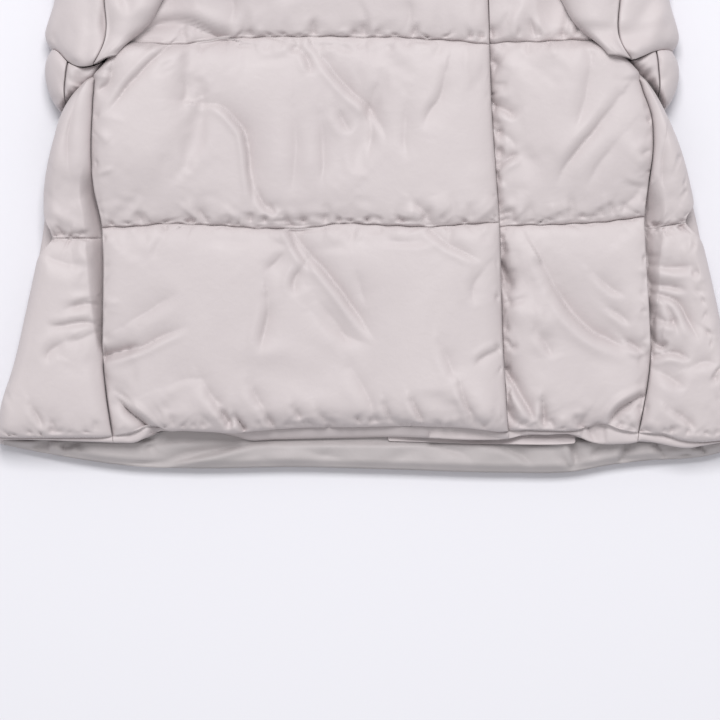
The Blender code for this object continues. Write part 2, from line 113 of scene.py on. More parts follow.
frontHem = table(
    # The fronts' and sides' hem: its lowest edge, the line that it is stitched on, and how far the padding
    # above the stitches hangs down over them
    "place edge stitch hang",
    (-332, -4, -2.2, 0),
    (-295, -4.1, -2.3, 0),
    (-268, -4.9, -2.2, 0),
    (-250, -5.6, -2.1, 0),
    (-229, -6.4, -1.8, 0),
    (-215, -6.8, 0, 0),
    (-199, -5.6, 4, 0),
    (-191, -1, 8, 0),
    (-183, 3, 8, 3),
    (-176, 3.4, 7, 7),
    (-158, 3.4, 6.6, 8),
    (-130, 2, 6.4, 9.4),
    (-114, -1, 6, 10),
    (-102, -4.6, 6.6, 9.5),
    (-80, -4.2, 8.6, 9.5),
    (-55, -3.6, 10.2, 9.5),
    (0, -2.4, 11, 9.5),
    (34, -1.8, 12, 9.5),
    (60, -2.6, 12, 9.5),
    (100, -4.4, 10.4, 9),
    (110, -4.3, 8, 8),
    (122, -4, 4.6, 6),
    (131, -3, 4, 4),
    (146, 0.5, 4.7, 0),
    (162, 0.2, 4.2, 0),
    (187, 0.2, 4, 0),
    (193, -1.5, 5, 0),
    (200, -5, 7.6, 4),
    (207, -7, 10, 5),
    (218, -8.3, 8.9, 0),
    (227, -8, 5.3, 0),
    (241, -7, 2.4, 0),
    (249, -5, 1.8, 0),
    (256, -6, 1.4, 0),
    (268, -8.3, 0.8, 0),
    (282, -11, -4, 0),
    (292, -11.4, -5.6, 0),
    (302, -9.6, -6, 0),
    (318, -6.9, -4.8, 0),
    (335, -5, -3, 0),
)
sleeveShape = table(
    "height inner outer seam",
    (337, 217, 277, 238),
    (343, 212, 281, 232),
    (350, 204, 283, 228),
    (360, 192, 281, 226),
    (387, 176, 274, 228),
    (420, 158, 273, 227),
    (490, 150, 284, 231),
    (560, 160, 296, 244),
    (605, 172, 301, 254),
    (645, 189, 302, 249),
    (690, 207, 298, 244),
    (750, 208.5, 286, 242),
    (790, 215.5, 264, 239),
    (815, 224.5, 238, 231),
)
cuffShape = table(
    "height inner outer seam",
    (285, 206, 266, 258),
    (291, 199, 272, 262),
    (305, 197, 280, 264),
    (320, 202, 283, 263),
    (330, 211, 281, 262),
    (336.5, 220, 277, 261),
)
# How far the stitched lines wander up and down as they cross the fronts
wander = {
    right: table(
        "place low high",
        (-240, -2, -4),
        (-204, 0, -1),
        (-175, 1.6, -4),
        (-117, -1, 3),
        (-60, -2, 4),
        (-15, 1.5, 3),
        (34, -1, 3),
        (125, 3.3, -5),
    ),
    left: table("place low high", (105, -2, -3), (150, 0, -1), (189, 1.6, 1), (232, 6, 0), (252, 8, 0)),
}
centreX = (body["left"][1] - body["right"][1]) / 2
centreY = (shoulderHeight + collarGap + collarHeight + hem["back"].min()) / 2


def follow(rows, name, at, along="height"):
    # A smooth curve through one column of a table
    places, values = rows[along], rows[name]
    slopes = np.gradient(values, places)
    at = np.clip(at, places[0], places[-1])
    i = np.clip(np.searchsorted(places, at) - 1, 0, len(places) - 2)
    span = places[i + 1] - places[i]
    t = (at - places[i]) / span
    return (
        (2 * t**3 - 3 * t**2 + 1) * values[i]
        + (t**3 - 2 * t**2 + t) * span * slopes[i]
        + (3 * t**2 - 2 * t**3) * values[i + 1]
        + (t**3 - t**2) * span * slopes[i + 1]
    )


def ramp(value, start, end):
    t = np.clip((value - start) / (end - start), 0, 1)
    return t * t * (3 - 2 * t)


def roundRise(distance, radius):
    t = 1 - np.clip(distance / radius, 0, 1)
    return np.sqrt(1 - t * t)


def bump(value, centre, width):
    return np.exp(-(((value - centre) / width) ** 2))


def bodyEdge(side, y):
    return np.where(y > armhole["height"][0], follow(armhole, "reach", y), follow(body, sideNames[side], y))


def fromEdge(x, y):
    return np.where(x < 0, bodyEdge(right, y), bodyEdge(left, y)) - np.abs(x)


def placketEdge(y):
    return follow(placket, "edge", y)


def hemAt(name, x):
    return follow(frontHem, name, x, "place")


def seamEdge(side, y):
    return np.where(
        y > body["height"][-1], follow(armhole, "reach", y), follow(body, sideNames[side] + "Seam", y)
    )


def pastSeam(side, x, y):
    return np.abs(x) - seamEdge(side, y)


def covered(y):
    # Where the front reaches out over the side panel, up to the body's own edge
    return ramp(y, 313, 323) * (1 - ramp(y, 358, 380))


def frontReach(side, y):
    return seamEdge(side, y) + covered(y) * np.maximum(bodyEdge(side, y) - seamEdge(side, y) - 0.6, 0)


def shoulderLine(x):
    pastNeck = (np.abs(x) - neckHalfWidth) / (shoulderReach - neckHalfWidth)
    return shoulderHeight - shoulderDrop * np.maximum(pastNeck, 0)


def neckline(x, drop):
    inside = np.maximum(1 - (x / neckHalfWidth) ** 2, 0)
    return shoulderLine(x) - drop * inside**0.6


def overCuff(x, y):
    # Where the body lies over a cuff, and is raised by it
    return ramp(np.abs(x), 140, 194) * ramp(y, 205, 268) * (1 - ramp(y, 338, 352))


def cuffLift(x, y):
    return (cuffThick + 1.5) * overCuff(x, y)


def lineDistance(y, lines):
    return np.min(np.abs(np.asarray(y)[..., None] - np.asarray(lines)), axis=-1)


layers = dict(
    rim=(4, 18), underRim=(5, 12), trough=(2.5, 5), hemFall=10, hemAir=2.5, cuffAir=10, pocketAir=1.6
)


def backTop(x, y):
    # The back's upper face, which the facing and the fronts lie on
    depth, width = layers["rim"]
    hemFall = layers["hemFall"] * (1 - ramp(y, -26, 34))
    rimFall = depth * (1 - roundRise(fromEdge(x, y), width))
    return backThick - rimFall - hemFall + backPressed * cuffLift(x, y)


def backUnder(x, y):
    # Its under face: flat on the floor, but for the quilting lines and the rounded rim
    (trough, troughWidth), (rise, width) = layers["trough"], layers["underRim"]
    dip = trough * bump(lineDistance(y, quiltLines[1:]), 0, troughWidth)
    return dip + rise * (1 - roundRise(fromEdge(x, y), width)) + cuffLift(x, y)


def frontUnder(x, y):
    # The fronts' under face, with some air below it at the hem, beside the cuffs and under the pockets
    inside, slope = fromEdge(x, y), overCuff(x, y)
    depth, width = layers["rim"]
    air = 2 * gap + (layerGap - 2 * gap) * ramp(inside, 0, 12) + layers["cuffAir"] * slope * (1 - slope)
    air = air + layers["pocketAir"] * ramp(np.abs(x), 100, 135) * ramp(y, 180, 225) * ramp(inside, 0, 20)
    hemAir = layers["hemAir"] * (1 - ramp(y, 22, 70)) * ramp(inside, 0, 60)
    return backThick - depth * (1 - roundRise(inside, width)) + backPressed * cuffLift(x, y) + air + hemAir


def pressed(x, y):
    # Where a sleeve lies on the body
    return ramp(np.abs(x), 135, 175) * ramp(y, 342, 382) * (1 - ramp(y, 650, 700))


rim = dict(groove=0.16, grooveWidth=0.6, radius=22, line=0.26, bead=2.4, pressedFlat=0.65)


def puff(x, y, v, seamDistance, rise):
    # The padding's height over its stitched edges. The hem is stitched above its edge, and what hangs
    # below the stitches is thin.
    flat = 1 - rim["pressedFlat"] * pressed(x, y)
    half, above = hemStitch / 2, v - hemStitch
    droop = lipDroop(x, v)
    bead = rim["bead"] * np.sqrt(np.clip(1 - ((v - half) / half) ** 2, 0, 1)) - 4 * np.minimum(droop, 1)
    low = 0.5 * np.sin(np.pi / 2 * np.clip(above / hemRoll, 0, 1)) + 0.5 * roundRise(above, hemRoll)
    hanging = np.clip(hemAt("hang", x) / 6, 0, 1) * (v < 90)
    full = rim["line"] + (1 - rim["line"]) * rimRise(lineDistance(v, stitchedLines))
    along = hanging * low + (1 - hanging) * full
    return np.where(v < hemStitch, bead, rise * flat * rimRise(seamDistance) * along) - droop


def rimRise(distance):
    # A narrow groove along the stitches, then a slow swell
    distance = np.maximum(distance, 0)
    groove = 1 - np.exp(-distance / rim["grooveWidth"])
    return rim["groove"] * groove + (1 - rim["groove"]) * roundRise(distance, rim["radius"])


def lipDroop(x, v):
    # Under the hanging padding the hem turns down to the line that it is stitched on
    low = np.clip(hemAt("hang", x), 0, 9)
    inner, crest, outer, crestAt = 0.65, 0.4, 0.95, 3.4
    lip = outer - (outer - crest) * np.clip(v / crestAt, 0, 1) + (inner - crest) * ramp(v, crestAt, hemStitch)
    return low * np.where(v < hemStitch, lip, inner * (1 - ramp(v, hemStitch, hemStitch + hemRoll)))


def topDistance(x, y):
    return neckline(x, frontNeckDrop) - y


def pocketRim(side, y, distance):
    # Beside the pocket the front's edge stands up full and steep
    height, width = pocket["rim"]
    return distance + height * pocketOpen(side, y) * (1 - np.exp(-distance / width))


def rightFrontTop(x, y, v, rise):
    edge = placketEdge(y)
    outer = np.maximum(frontReach(right, y) + x, 0) * (1 + 1.6 * covered(y))
    distance = np.minimum(pocketRim(right, y, outer), edge - x + 1)
    distance = np.minimum(distance, topDistance(x, y) + 2)
    over = 7 * ramp(x, edge - underlap - 60, edge - underlap + 10)
    return frontUnder(x, y) + seamThick + over + puff(x, y, v, distance, rise)


def rightFrontUnder(x, y):
    edge = placketEdge(y)
    over = (underlapThick + 3 * gap) * ramp(x, edge - underlap - 26, edge - underlap - 8)
    return frontUnder(x, y) + over


placketDip = table(
    "height depth",
    *((0, 1), (30, 3), (84, 4), (110, 6), (128, 8), (146, 8), (160, 3), (184, 1), (230, 1), (262, 3)),
    *((290, 8), (320, 8), (343, 4), (354, 0), (900, 0)),
)


def placketSink(x, y):
    return follow(placketDip, "depth", y) * np.exp(-np.maximum(x - placketEdge(y), 0) / 5)


def leftFrontTop(x, y, v, rise):
    edge = placketEdge(y)
    outer = np.maximum(frontReach(left, y) - x, 0) * (1 + 1.6 * covered(y))
    distance = np.minimum(pocketRim(left, y, outer), x - edge + 1)
    distance = np.minimum(distance, topDistance(x, y) + 2)
    full = frontUnder(x, y) + seamThick + puff(x, y, v, np.maximum(distance, 0), rise)
    full = np.maximum(full - placketSink(x, y), frontUnder(x, y) + underlapThick)
    return np.where(x < edge + 1.2, frontUnder(x, y) + underlapThick, full)


def sideLines(side):
    lines = quiltLines.copy()
    lines[1] -= 11 if side == right else 4
    return lines


def sideTop(side, x, y, v, rise):
    inside, fromSeam = bodyEdge(side, y) - np.abs(x), pastSeam(side, x, y)
    full = seamThick + puff(x, y, v, np.minimum(fromSeam * 1.3, inside * 2), rise)
    width = follow(pocketWidth[side], "width", y)
    slope = np.clip((fromSeam + 2) / (1.2 * width + 2), 0, 1)
    closed = 1 - pocketOpen(side, y) * (1 - 0.5 * slope - 0.5 * ramp(slope, 0, 1))
    full = pocket["floor"] + (full - pocket["floor"]) * closed
    return frontUnder(x, y) + full + (1.6 - full) * covered(y)


def spread(length, step, fine=(1.2, 3, 5.8, 9.5)):
    # Stations along a length, close together beside both its ends
    count = max(int(round((length - 2 * fine[-1]) / step)), 1)
    middle = np.linspace(fine[-1], length - fine[-1], count + 1)
    ends = np.array(fine[:-1])
    return np.concatenate([[0], ends, middle, length - ends[::-1], [length]])


def cellRows(lines, steps, fine=(1.2, 3, 5.8, 9.5)):
    rows = [lines[0]]
    for low, high, step in zip(lines, lines[1:], steps):
        rows.extend(low + spread(high - low, step, fine)[1:])
    return np.array(rows)


def ridges(x, y, rows):
    # Soft folds, each from a start to an end: height (a trough where it is below 0), half-width, and how
    # much the cloth swells along its one side
    total = np.zeros(np.shape(x))
    for startX, startY, endX, endY, height, width, lean in rows:
        run = math.hypot(endX - startX, endY - startY)
        alongX, alongY = (endX - startX) / run, (endY - startY) / run
        along = (x - startX) * alongX + (y - startY) * alongY
        off = (y - startY) * alongX - (x - startX) * alongY
        phase = 1.3 * startX + 0.7 * startY
        sway = min(0.045 * run, 1.6)
        off = off + sway * (np.sin(along / 11 + phase) + 0.5 * np.sin(along / 4.7 + 2 * phase))
        past = np.maximum(np.maximum(-along, along - run), 0)
        t = np.clip(along / run, 0, 1)
        fade = (0.3 + 0.7 * np.sin(np.pi * t) ** 0.7) * bump(past, 0, width)
        swell = bump(off, 1.7 * width * np.sign(lean or 1), 1.3 * width)
        total += fade * (height * bump(off, 0, width) + abs(height * lean) * swell)
    return total


def rounded(path):
    # Cuts the corners of a line of points, twice
    for _ in range(2 if len(path) > 2 else 0):
        quarter, rest = 0.75 * path[:-1] + 0.25 * path[1:], 0.25 * path[:-1] + 0.75 * path[1:]
        path = np.concatenate([path[:1], np.stack([quarter, rest], axis=1).reshape(-1, 2), path[-1:]])
        path = path[np.append(True, np.hypot(*np.diff(path, axis=0).T) > 0.01)]
    return path


foldShape = dict(ridge=0.2, leastSteep=2, wobble=0.25, lapBroad=5, lapDepth=3.2, lapMost=1.6)


def creases(x, y, rows):
    # Crisp folds, each along a line of points. The cloth drops to the line, over a short way on the line's
    # right hand and a long way on its left. The last number is how strong the fold is at its start.
    # In a deep and narrow fold the cloth on the right hand also laps over the line.
    total, lapX, lapY = (np.zeros(np.shape(x)) for _ in range(3))
    for path, depth, sharp, broad, start in rows:
        path = rounded(np.array(path, float))
        reach = 4 * max(sharp, broad)
        low, high = path.min(axis=0) - reach, path.max(axis=0) + reach
        near = np.nonzero((x > low[0]) & (x < high[0]) & (y > low[1]) & (y < high[1]))[0]
        if not len(near):
            continue
        nearX, nearY = x[near], y[near]
        best, off, place, wayX, wayY = (np.full(len(near), 1e9 if i == 0 else 0.0) for i in range(5))
        done = 0.0
        for (startX, startY), (endX, endY) in zip(path, path[1:]):
            run = math.hypot(endX - startX, endY - startY)
            dx, dy = (endX - startX) / run, (endY - startY) / run
            along = np.clip((nearX - startX) * dx + (nearY - startY) * dy, 0, run)
            awayX, awayY = nearX - startX - along * dx, nearY - startY - along * dy
            far = np.hypot(awayX, awayY)
            closer = far < best
            side = np.where(dx * awayY - dy * awayX > 0, 1, -1)
            best = np.where(closer, far, best)
            off = np.where(closer, side * far, off)
            place = np.where(closer, done + along, place)
            wayX, wayY = np.where(closer, dx, wayX), np.where(closer, dy, wayY)
            done += run
        t = place / done
        fade = (start + (1 - start) * ramp(t, 0, 0.4)) * (1 - ramp(t, 0.6, 1))
        wobble = foldShape["wobble"] * np.sin(place / 4.3 + path[0, 0])
        steep = max(1.5 * sharp, foldShape["leastSteep"])
        width = np.where(off + wobble > 0, broad, steep)
        total[near] -= depth * fade * np.exp(-np.abs(off + wobble) / width)
        total[near] += foldShape["ridge"] * depth * fade * bump(off, -3 * steep, 1.7 * steep)
        if broad <= foldShape["lapBroad"]:
            strength = min(0.8 * max(depth - foldShape["lapDepth"], 0), foldShape["lapMost"])
            lap = strength * fade * bump(off, -1.6, 1.8)
            lapX[near] -= lap * wayY
            lapY[near] += lap * wayX
    return total, lapX, lapY


def turned(way, angle):
    across, along = math.cos(angle), math.sin(angle)
    return np.array([way[0] * across - way[1] * along, way[0] * along + way[1] * across])


def gathers(random, start, end, inward, pitch=11, reach=(5, 22), depths=(0.7, 2.4), sharp=(1, 1.7), lean=0):
    # The small sharp folds that a stitched line leaves in the cloth on its one side
    start, end, inward = np.array(start, float), np.array(end, float), np.array(inward, float)
    count = max(int(math.hypot(*(end - start)) / pitch), 2)
    rows = []
    for place in (np.arange(count) + random.uniform(-0.45, 0.45, count) + 0.5) / count:
        at = start + place * (end - start) - inward
        turn = random.normal(lean, 0.5)
        path = [at]
        length = random.uniform(*reach) * random.uniform(0.4, 1)
        for _ in range(3):
            turn += random.normal(0, 0.18)
            path.append(path[-1] + turned(inward, turn) * length / 3)
        if random.random() < 0.5:
            path = path[::-1]
        width = random.uniform(*sharp)
        depth, broad = random.uniform(*depths), width * random.uniform(2, 5)
        rows.append((path, depth, width, broad, 0.3 if path[0] is at else 0))
    return rows


def puckers(random, start, end, inward, count, lengths=(10, 42), heights=(0.7, 2.4), widths=(2.6, 6)):
    # Little folds that run away from a stitched line on its one side
    start, end, inward = np.array(start, float), np.array(end, float), np.array(inward, float)
    rows = []
    for place in (np.arange(count) + random.uniform(-0.4, 0.4, count) + 0.5) / count:
        root = start + place * (end - start) - inward * random.uniform(0, 2)
        way = turned(inward, random.normal(0, 0.42))
        tip = root + way * random.uniform(*lengths) * random.uniform(0.4, 1)
        height = random.uniform(*heights) * random.choice([-1, -1, 1])
        rows.append((*root, *tip, height, random.uniform(*widths), random.choice([-0.5, 0.5, 0])))
    return rows


def softFolds(random, box, count, lengths=(22, 70), spreadOf=1.3, widths=(5, 11)):
    # Slack in the cloth away from the seams
    rows = []
    for _ in range(count):
        x, y = random.uniform(box[0], box[2]), random.uniform(box[1], box[3])
        turn, half = random.uniform(0, math.pi), random.uniform(*lengths) / 2
        dx, dy = half * math.cos(turn), half * math.sin(turn)
        height = random.normal(0, spreadOf)
        rows.append((x - dx, y - dy, x + dx, y + dy, height, random.uniform(*widths), 0))
    return rows


def inOrder(side, near, far):
    return sorted((side * near, side * far))


def runs(make, *rows):
    # Small folds along several seams, drawn in the order of the rows
    return [fold for row in rows for fold in make(random, *row)]


def toFrame(x, y, z):
    return np.stack([(x - centreX) * mm, (y - centreY) * mm, z * mm], axis=-1)


def gridMesh(name, across, along):
    bm = bmesh.new()
    columns, rows = len(across) - 1, len(along) - 1
    bmesh.ops.create_grid(bm, x_segments=columns, y_segments=rows, size=0.5)
    mesh = bpy.data.meshes.new(name)
    bm.to_mesh(mesh)
    bm.free()
    at = points(mesh)
    return mesh, np.rint((at[:, 0] + 0.5) * columns).astype(int), np.rint((at[:, 1] + 0.5) * rows).astype(int)


def points(mesh):
    at = np.empty(len(mesh.vertices) * 3)
    mesh.vertices.foreach_get("co", at)
    return at.reshape(-1, 3)


def setPoints(mesh, at):
    mesh.vertices.foreach_set("co", np.ascontiguousarray(at, dtype=float).ravel())
    mesh.update()


simulation = dict(
    frames=25, grow=0.08, pressure=2, tension=10, shear=5, bending=0.01, damping=0.5, weight=0.15, quality=5
)


def inflate(mesh, pinned, cap):
    # Blows up a sheet that is held at its seams; its cloth is a little larger than the room it has
    before = points(mesh)
    piece = bpy.data.objects.new("simulated", mesh.copy())
    bpy.context.scene.collection.objects.link(piece)
    held = piece.vertex_groups.new(name="held")
    held.add([int(i) for i in np.nonzero(pinned)[0]], 1.0, "REPLACE")
    piece.shape_key_add(name="Basis")
    rest = piece.shape_key_add(name="rest")
    rest.data.foreach_set("co", (before * (1 + simulation["grow"])).ravel())
    rest.value = 0
    modifier = piece.modifiers.new("cloth", "CLOTH")
    cloth = modifier.settings
    cloth.vertex_group_mass = "held"
    cloth.rest_shape_key = rest
    cloth.quality = simulation["quality"]
    cloth.mass = simulation["weight"]
    cloth.tension_stiffness = cloth.compression_stiffness = simulation["tension"]
    cloth.shear_stiffness = simulation["shear"]
    cloth.bending_stiffness = simulation["bending"]
    cloth.tension_damping = cloth.compression_damping = cloth.shear_damping = simulation["damping"]
    cloth.bending_damping = simulation["damping"] / 5
    cloth.effector_weights.gravity = 0
    cloth.use_pressure = True
    cloth.uniform_pressure_force = simulation["pressure"]
    modifier.collision_settings.use_collision = False
    modifier.point_cache.frame_start = 1
    modifier.point_cache.frame_end = simulation["frames"]
    for step in range(1, simulation["frames"] + 1):
        bpy.context.scene.frame_set(step)
    graph = bpy.context.evaluated_depsgraph_get()
    result = bpy.data.meshes.new_from_object(piece.evaluated_get(graph))
    move = points(result) - before
    bpy.data.objects.remove(piece, do_unlink=True)
    bpy.data.meshes.remove(result)
    bpy.context.scene.frame_set(1)
    far = np.linalg.norm(move, axis=1)
    limit = cap * mm
    eased = limit * np.tanh(far / limit)
    return before + move * (eased / np.maximum(far, 1e-9))[:, None]


def faceUp(mesh, upper=slice(None)):
    # Turns the sheet's faces so that its upper part looks up
    normals = np.empty(len(mesh.vertices) * 3)
    mesh.vertices.foreach_get("normal", normals)
    if normals.reshape(-1, 3)[upper, 2].sum() < 0:
        mesh.flip_normals()


def closePad(name, mesh, outer, inner, material, column, row, coarse=4, levels=1):
    # Gives a sheet its other face, in larger squares, and the wall between the two
    setPoints(mesh, outer)
    bm = bmesh.new()
    bm.from_mesh(mesh)
    upper = set(bm.verts)
    columns, rows = (
        np.unique(np.append(np.arange(0, last, coarse), last)) for last in (column.max(), row.max())
    )
    lookup = np.empty((row.max() + 1, column.max() + 1, 3))
    lookup[row, column] = inner
    made = bmesh.ops.create_grid(bm, x_segments=len(columns) - 1, y_segments=len(rows) - 1, size=0.5)
    for vert in made["verts"]:
        i, j = round((vert.co.x + 0.5) * (len(columns) - 1)), round((vert.co.y + 0.5) * (len(rows) - 1))
        vert.co = lookup[rows[j], columns[i]]
    crease = bm.edges.layers.float.new("crease_edge") if levels else None
    rims = [edge for edge in bm.edges if edge.is_boundary]
    for edge in rims:
        if levels and edge.verts[0] in upper:
            edge[crease] = 1
    bmesh.ops.bridge_loops(bm, edges=rims)
    bmesh.ops.recalc_face_normals(bm, faces=bm.faces[:])
    closed = bpy.data.meshes.new(name)
    bm.to_mesh(closed)
    bm.free()
    bpy.data.meshes.remove(mesh)
    return addPiece(name, closed, material, levels)


def addPiece(name, mesh, material, levels=1):
    mesh.name = name
    mesh.shade_smooth()
    mesh.materials.append(material)
    piece = bpy.data.objects.new(name, mesh)
    bpy.context.scene.collection.objects.link(piece)
    if levels:
        smooth = piece.modifiers.new("smooth", "SUBSURF")
        smooth.levels = smooth.render_levels = levels
    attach(piece, "root")
    return piece


grain = dict(
    blotches=9, wear=45, crinkles=34, fineCrinkles=130, weaveDepth=0.0002, crinkleDepth=0.0016,
    sheenRoughness=0.45,
)


def clothMaterial(name, look):
    material = bpy.data.materials.new(name)
    material.use_nodes = True
    tree = material.node_tree
    nodes, links = tree.nodes, tree.links
    shader = nodes["Principled BSDF"]
    shader.inputs["Sheen Weight"].default_value = look["sheen"]
    shader.inputs["Sheen Roughness"].default_value = grain["sheenRoughness"]
    shader.inputs["Specular IOR Level"].default_value = look["gloss"]
    place = nodes.new("ShaderNodeTexCoord").outputs["Object"]

    def noise(scale, detail, roughness=0.5, distortion=0.0):
        node = nodes.new("ShaderNodeTexNoise")
        node.inputs["Scale"].default_value = scale
        node.inputs["Detail"].default_value = detail
        node.inputs["Roughness"].default_value = roughness
        node.inputs["Distortion"].default_value = distortion
        links.new(place, node.inputs["Vector"])
        return node.outputs["Fac"]

    def spreadOut(value, low, high, newLow, newHigh):
        node = nodes.new("ShaderNodeMapRange")
        for socket, number in zip(("From Min", "From Max", "To Min", "To Max"), (low, high, newLow, newHigh)):
            node.inputs[socket].default_value = number
        links.new(value, node.inputs["Value"])
        return node.outputs["Result"]

    def wave(direction):
        node = nodes.new("ShaderNodeTexWave")
        node.bands_direction = direction
        node.inputs["Scale"].default_value = look["threads"]
        node.inputs["Distortion"].default_value = 0.6
        node.inputs["Detail Scale"].default_value = 2
        links.new(place, node.inputs["Vector"])
        return node.outputs["Fac"]

    def join(kind, first, second):
        node = nodes.new("ShaderNodeMath")
        node.operation = kind
        links.new(first, node.inputs[0])
        links.new(second, node.inputs[1])
        return node.outputs["Value"]

    shade = nodes.new("ShaderNodeMix")
    shade.data_type = "RGBA"
    shade.inputs["A"].default_value = (*look["shade"], 1)
    shade.inputs["B"].default_value = (*look["light"], 1)
    links.new(spreadOut(noise(grain["blotches"], 4, 0.6, 0.6), 0.3, 0.7, 0, 1), shade.inputs["Factor"])
    links.new(shade.outputs["Result"], shader.inputs["Base Color"])
    links.new(spreadOut(noise(grain["wear"], 3), 0.3, 0.7, *look["roughness"]), shader.inputs["Roughness"])

    weave = nodes.new("ShaderNodeBump")
    weave.inputs["Strength"].default_value = look["weave"]
    weave.inputs["Distance"].default_value = grain["weaveDepth"]
    links.new(join("MAXIMUM", wave("X"), wave("Y")), weave.inputs["Height"])
    crinkle = nodes.new("ShaderNodeBump")
    crinkle.inputs["Strength"].default_value = look["crinkle"]
    crinkle.inputs["Distance"].default_value = grain["crinkleDepth"]
    large, small = noise(grain["crinkles"], 4, 0.5, 1.2), noise(grain["fineCrinkles"], 2, 0.5, 0.6)
    links.new(join("ADD", large, small), crinkle.inputs["Height"])
    links.new(weave.outputs["Normal"], crinkle.inputs["Normal"])
    links.new(crinkle.outputs["Normal"], shader.inputs["Normal"])
    return material


shellLook = dict(
    light=(0.59, 0.532, 0.536), shade=(0.552, 0.495, 0.501), roughness=(0.46, 0.6),
    sheen=0.12, gloss=0.32, threads=620, weave=0.1, crinkle=0.16,
)
facingLook = dict(
    light=(0.505, 0.464, 0.467), shade=(0.45, 0.416, 0.417), roughness=(0.5, 0.64),
    sheen=0.1, gloss=0.3, threads=620, weave=0.1, crinkle=0.2,
)
threadLook = dict(
    light=(0.56, 0.505, 0.508), shade=(0.51, 0.457, 0.462), roughness=(0.55, 0.7),
    sheen=0.2, gloss=0.3, threads=1500, weave=0.3, crinkle=0.1,
)
shellCloth = clothMaterial("shellNylon", shellLook)
facingCloth = clothMaterial("facingNylon", facingLook)
threadCloth = clothMaterial("sewingThread", threadLook)
print("materials made")

bodySteps = (6.4, 6.4, 12, 18, 18)
shoulderRow = shoulderHeight - shoulderDrop
bodyLines = np.append(quiltLines, shoulderRow)
hemBead = [0, 2.3]
sheetEnds = (2.4, 6.4)
bodyRows = np.append(hemBead, cellRows(np.append(stitchedLines, shoulderRow), bodySteps, sheetEnds))
random = np.random.default_rng(11)


def stretched(v, start, nominal, real):
    return np.where(v <= start, v, start + (v - start) * (real - start) / (nominal - start))


def backPlace(u, v):
    x = u * np.where(u < 0, bodyEdge(right, v), bodyEdge(left, v))
    shift = follow(hem, "back", x, "place") * (1 - np.minimum(v / quiltLines[1], 1)) ** 2
    return x, placeBody(x, v, backNeckDrop) + shift


def lineShift(side, x, v):
    low = follow(wander[side], "low", x, "place") * bump(v, quiltLines[1], 55)
    shift = low + follow(wander[side], "high", x, "place") * bump(v, quiltLines[2], 45)
    for line in quiltLines[1:]:
        sway = 0.3 * np.sin(x / 8.3 + line) + 0.6 * np.sin(x / 23 + 2 * line) + 0.3 * np.sin(x / 3.1 + line)
        shift = shift + sway * bump(v, line, 9)
    return shift


pocket = dict(
    low=70, high={right: 242, left: 228}, lowEnd=14, highEnd=30, slip=4, floor=0.6, lift=3.4, liftReach=9,
    rim=(9, 0.5),
)
pocketWidth = {
    right: table(
        "height width", (60, 2), (74, 3), (96, 6), (120, 9), (160, 12), (200, 12), (225, 9), (245, 4)
    ),
    left: table(
        "height width", (60, 1), (80, 4), (110, 5), (130, 8), (160, 10), (176, 13), (200, 14), (225, 8)
    ),
}


def pocketOpen(side, y):
    low, high = pocket["low"], pocket["high"][side]
    return ramp(y, low, low + pocket["lowEnd"]) * (1 - ramp(y, high - pocket["highEnd"], high))


def pocketLift(side, x, y):
    # The front's under side beside the pocket, clear of the side panel that runs in below it
    near = 1 - ramp(seamEdge(side, y) - np.abs(x), 0, pocket["liftReach"])
    return pocket["lift"] * pocketOpen(side, y) * near


def placeBody(x, v, neckDrop):
    return stretched(v, quiltLines[-1], shoulderRow, neckline(x, neckDrop))


def hemPlace(x, v):
    # Where a station above the hem's edge is, in plan, before the padding hangs over it
    edge, stitch = hemAt("edge", x), hemAt("stitch", x)
    above = (stitch - hemStitch) * (1 - np.clip((v - hemStitch) / quiltLines[1], 0, 1)) ** 2
    return np.where(v < hemStitch, edge + (stitch - edge) * v / hemStitch - v, above)


def overhang(x, v):
    past = np.maximum(v - hemStitch, 0)
    start, end = 6, 45
    pushed = 2.05 * (1 - np.exp(-past / start)) * np.exp(-past / end) * (1 - ramp(past, 70, 150))
    return hemAt("hang", x) * pushed


def smoothed(values, times):
    for _ in range(times):
        wide = np.pad(values, 1, mode="edge")
        values = (wide[:-2, 1:-1] + wide[2:, 1:-1] + wide[1:-1, :-2] + wide[1:-1, 2:] + 4 * values) / 8
    return values


def halved(stations):
    finer = np.empty(2 * len(stations) - 1)
    finer[::2] = stations
    finer[1::2] = (stations[1:] + stations[:-1]) / 2
    return finer


def between(shift):
    # Fills in the rows between the rows of a grid
    padded = np.concatenate([2 * shift[:1] - shift[1:2], shift, 2 * shift[-1:] - shift[-2:-1]])
    finer = np.empty((2 * len(shift) - 1, *shift.shape[1:]))
    finer[::2] = shift
    finer[1::2] = (9 * (padded[1:-2] + padded[2:-1]) - padded[:-3] - padded[3:]) / 16
    return finer


stitchPaths = []

panel = dict(
    material=shellCloth, rise=15, sink=0.9, crisp=3, press=0.8, deepest=12, lipDeepest=5, thinnest=1.2,
    padStep=16, foldFade=(26, 20), swellFade=20, swellRounds=14,
)


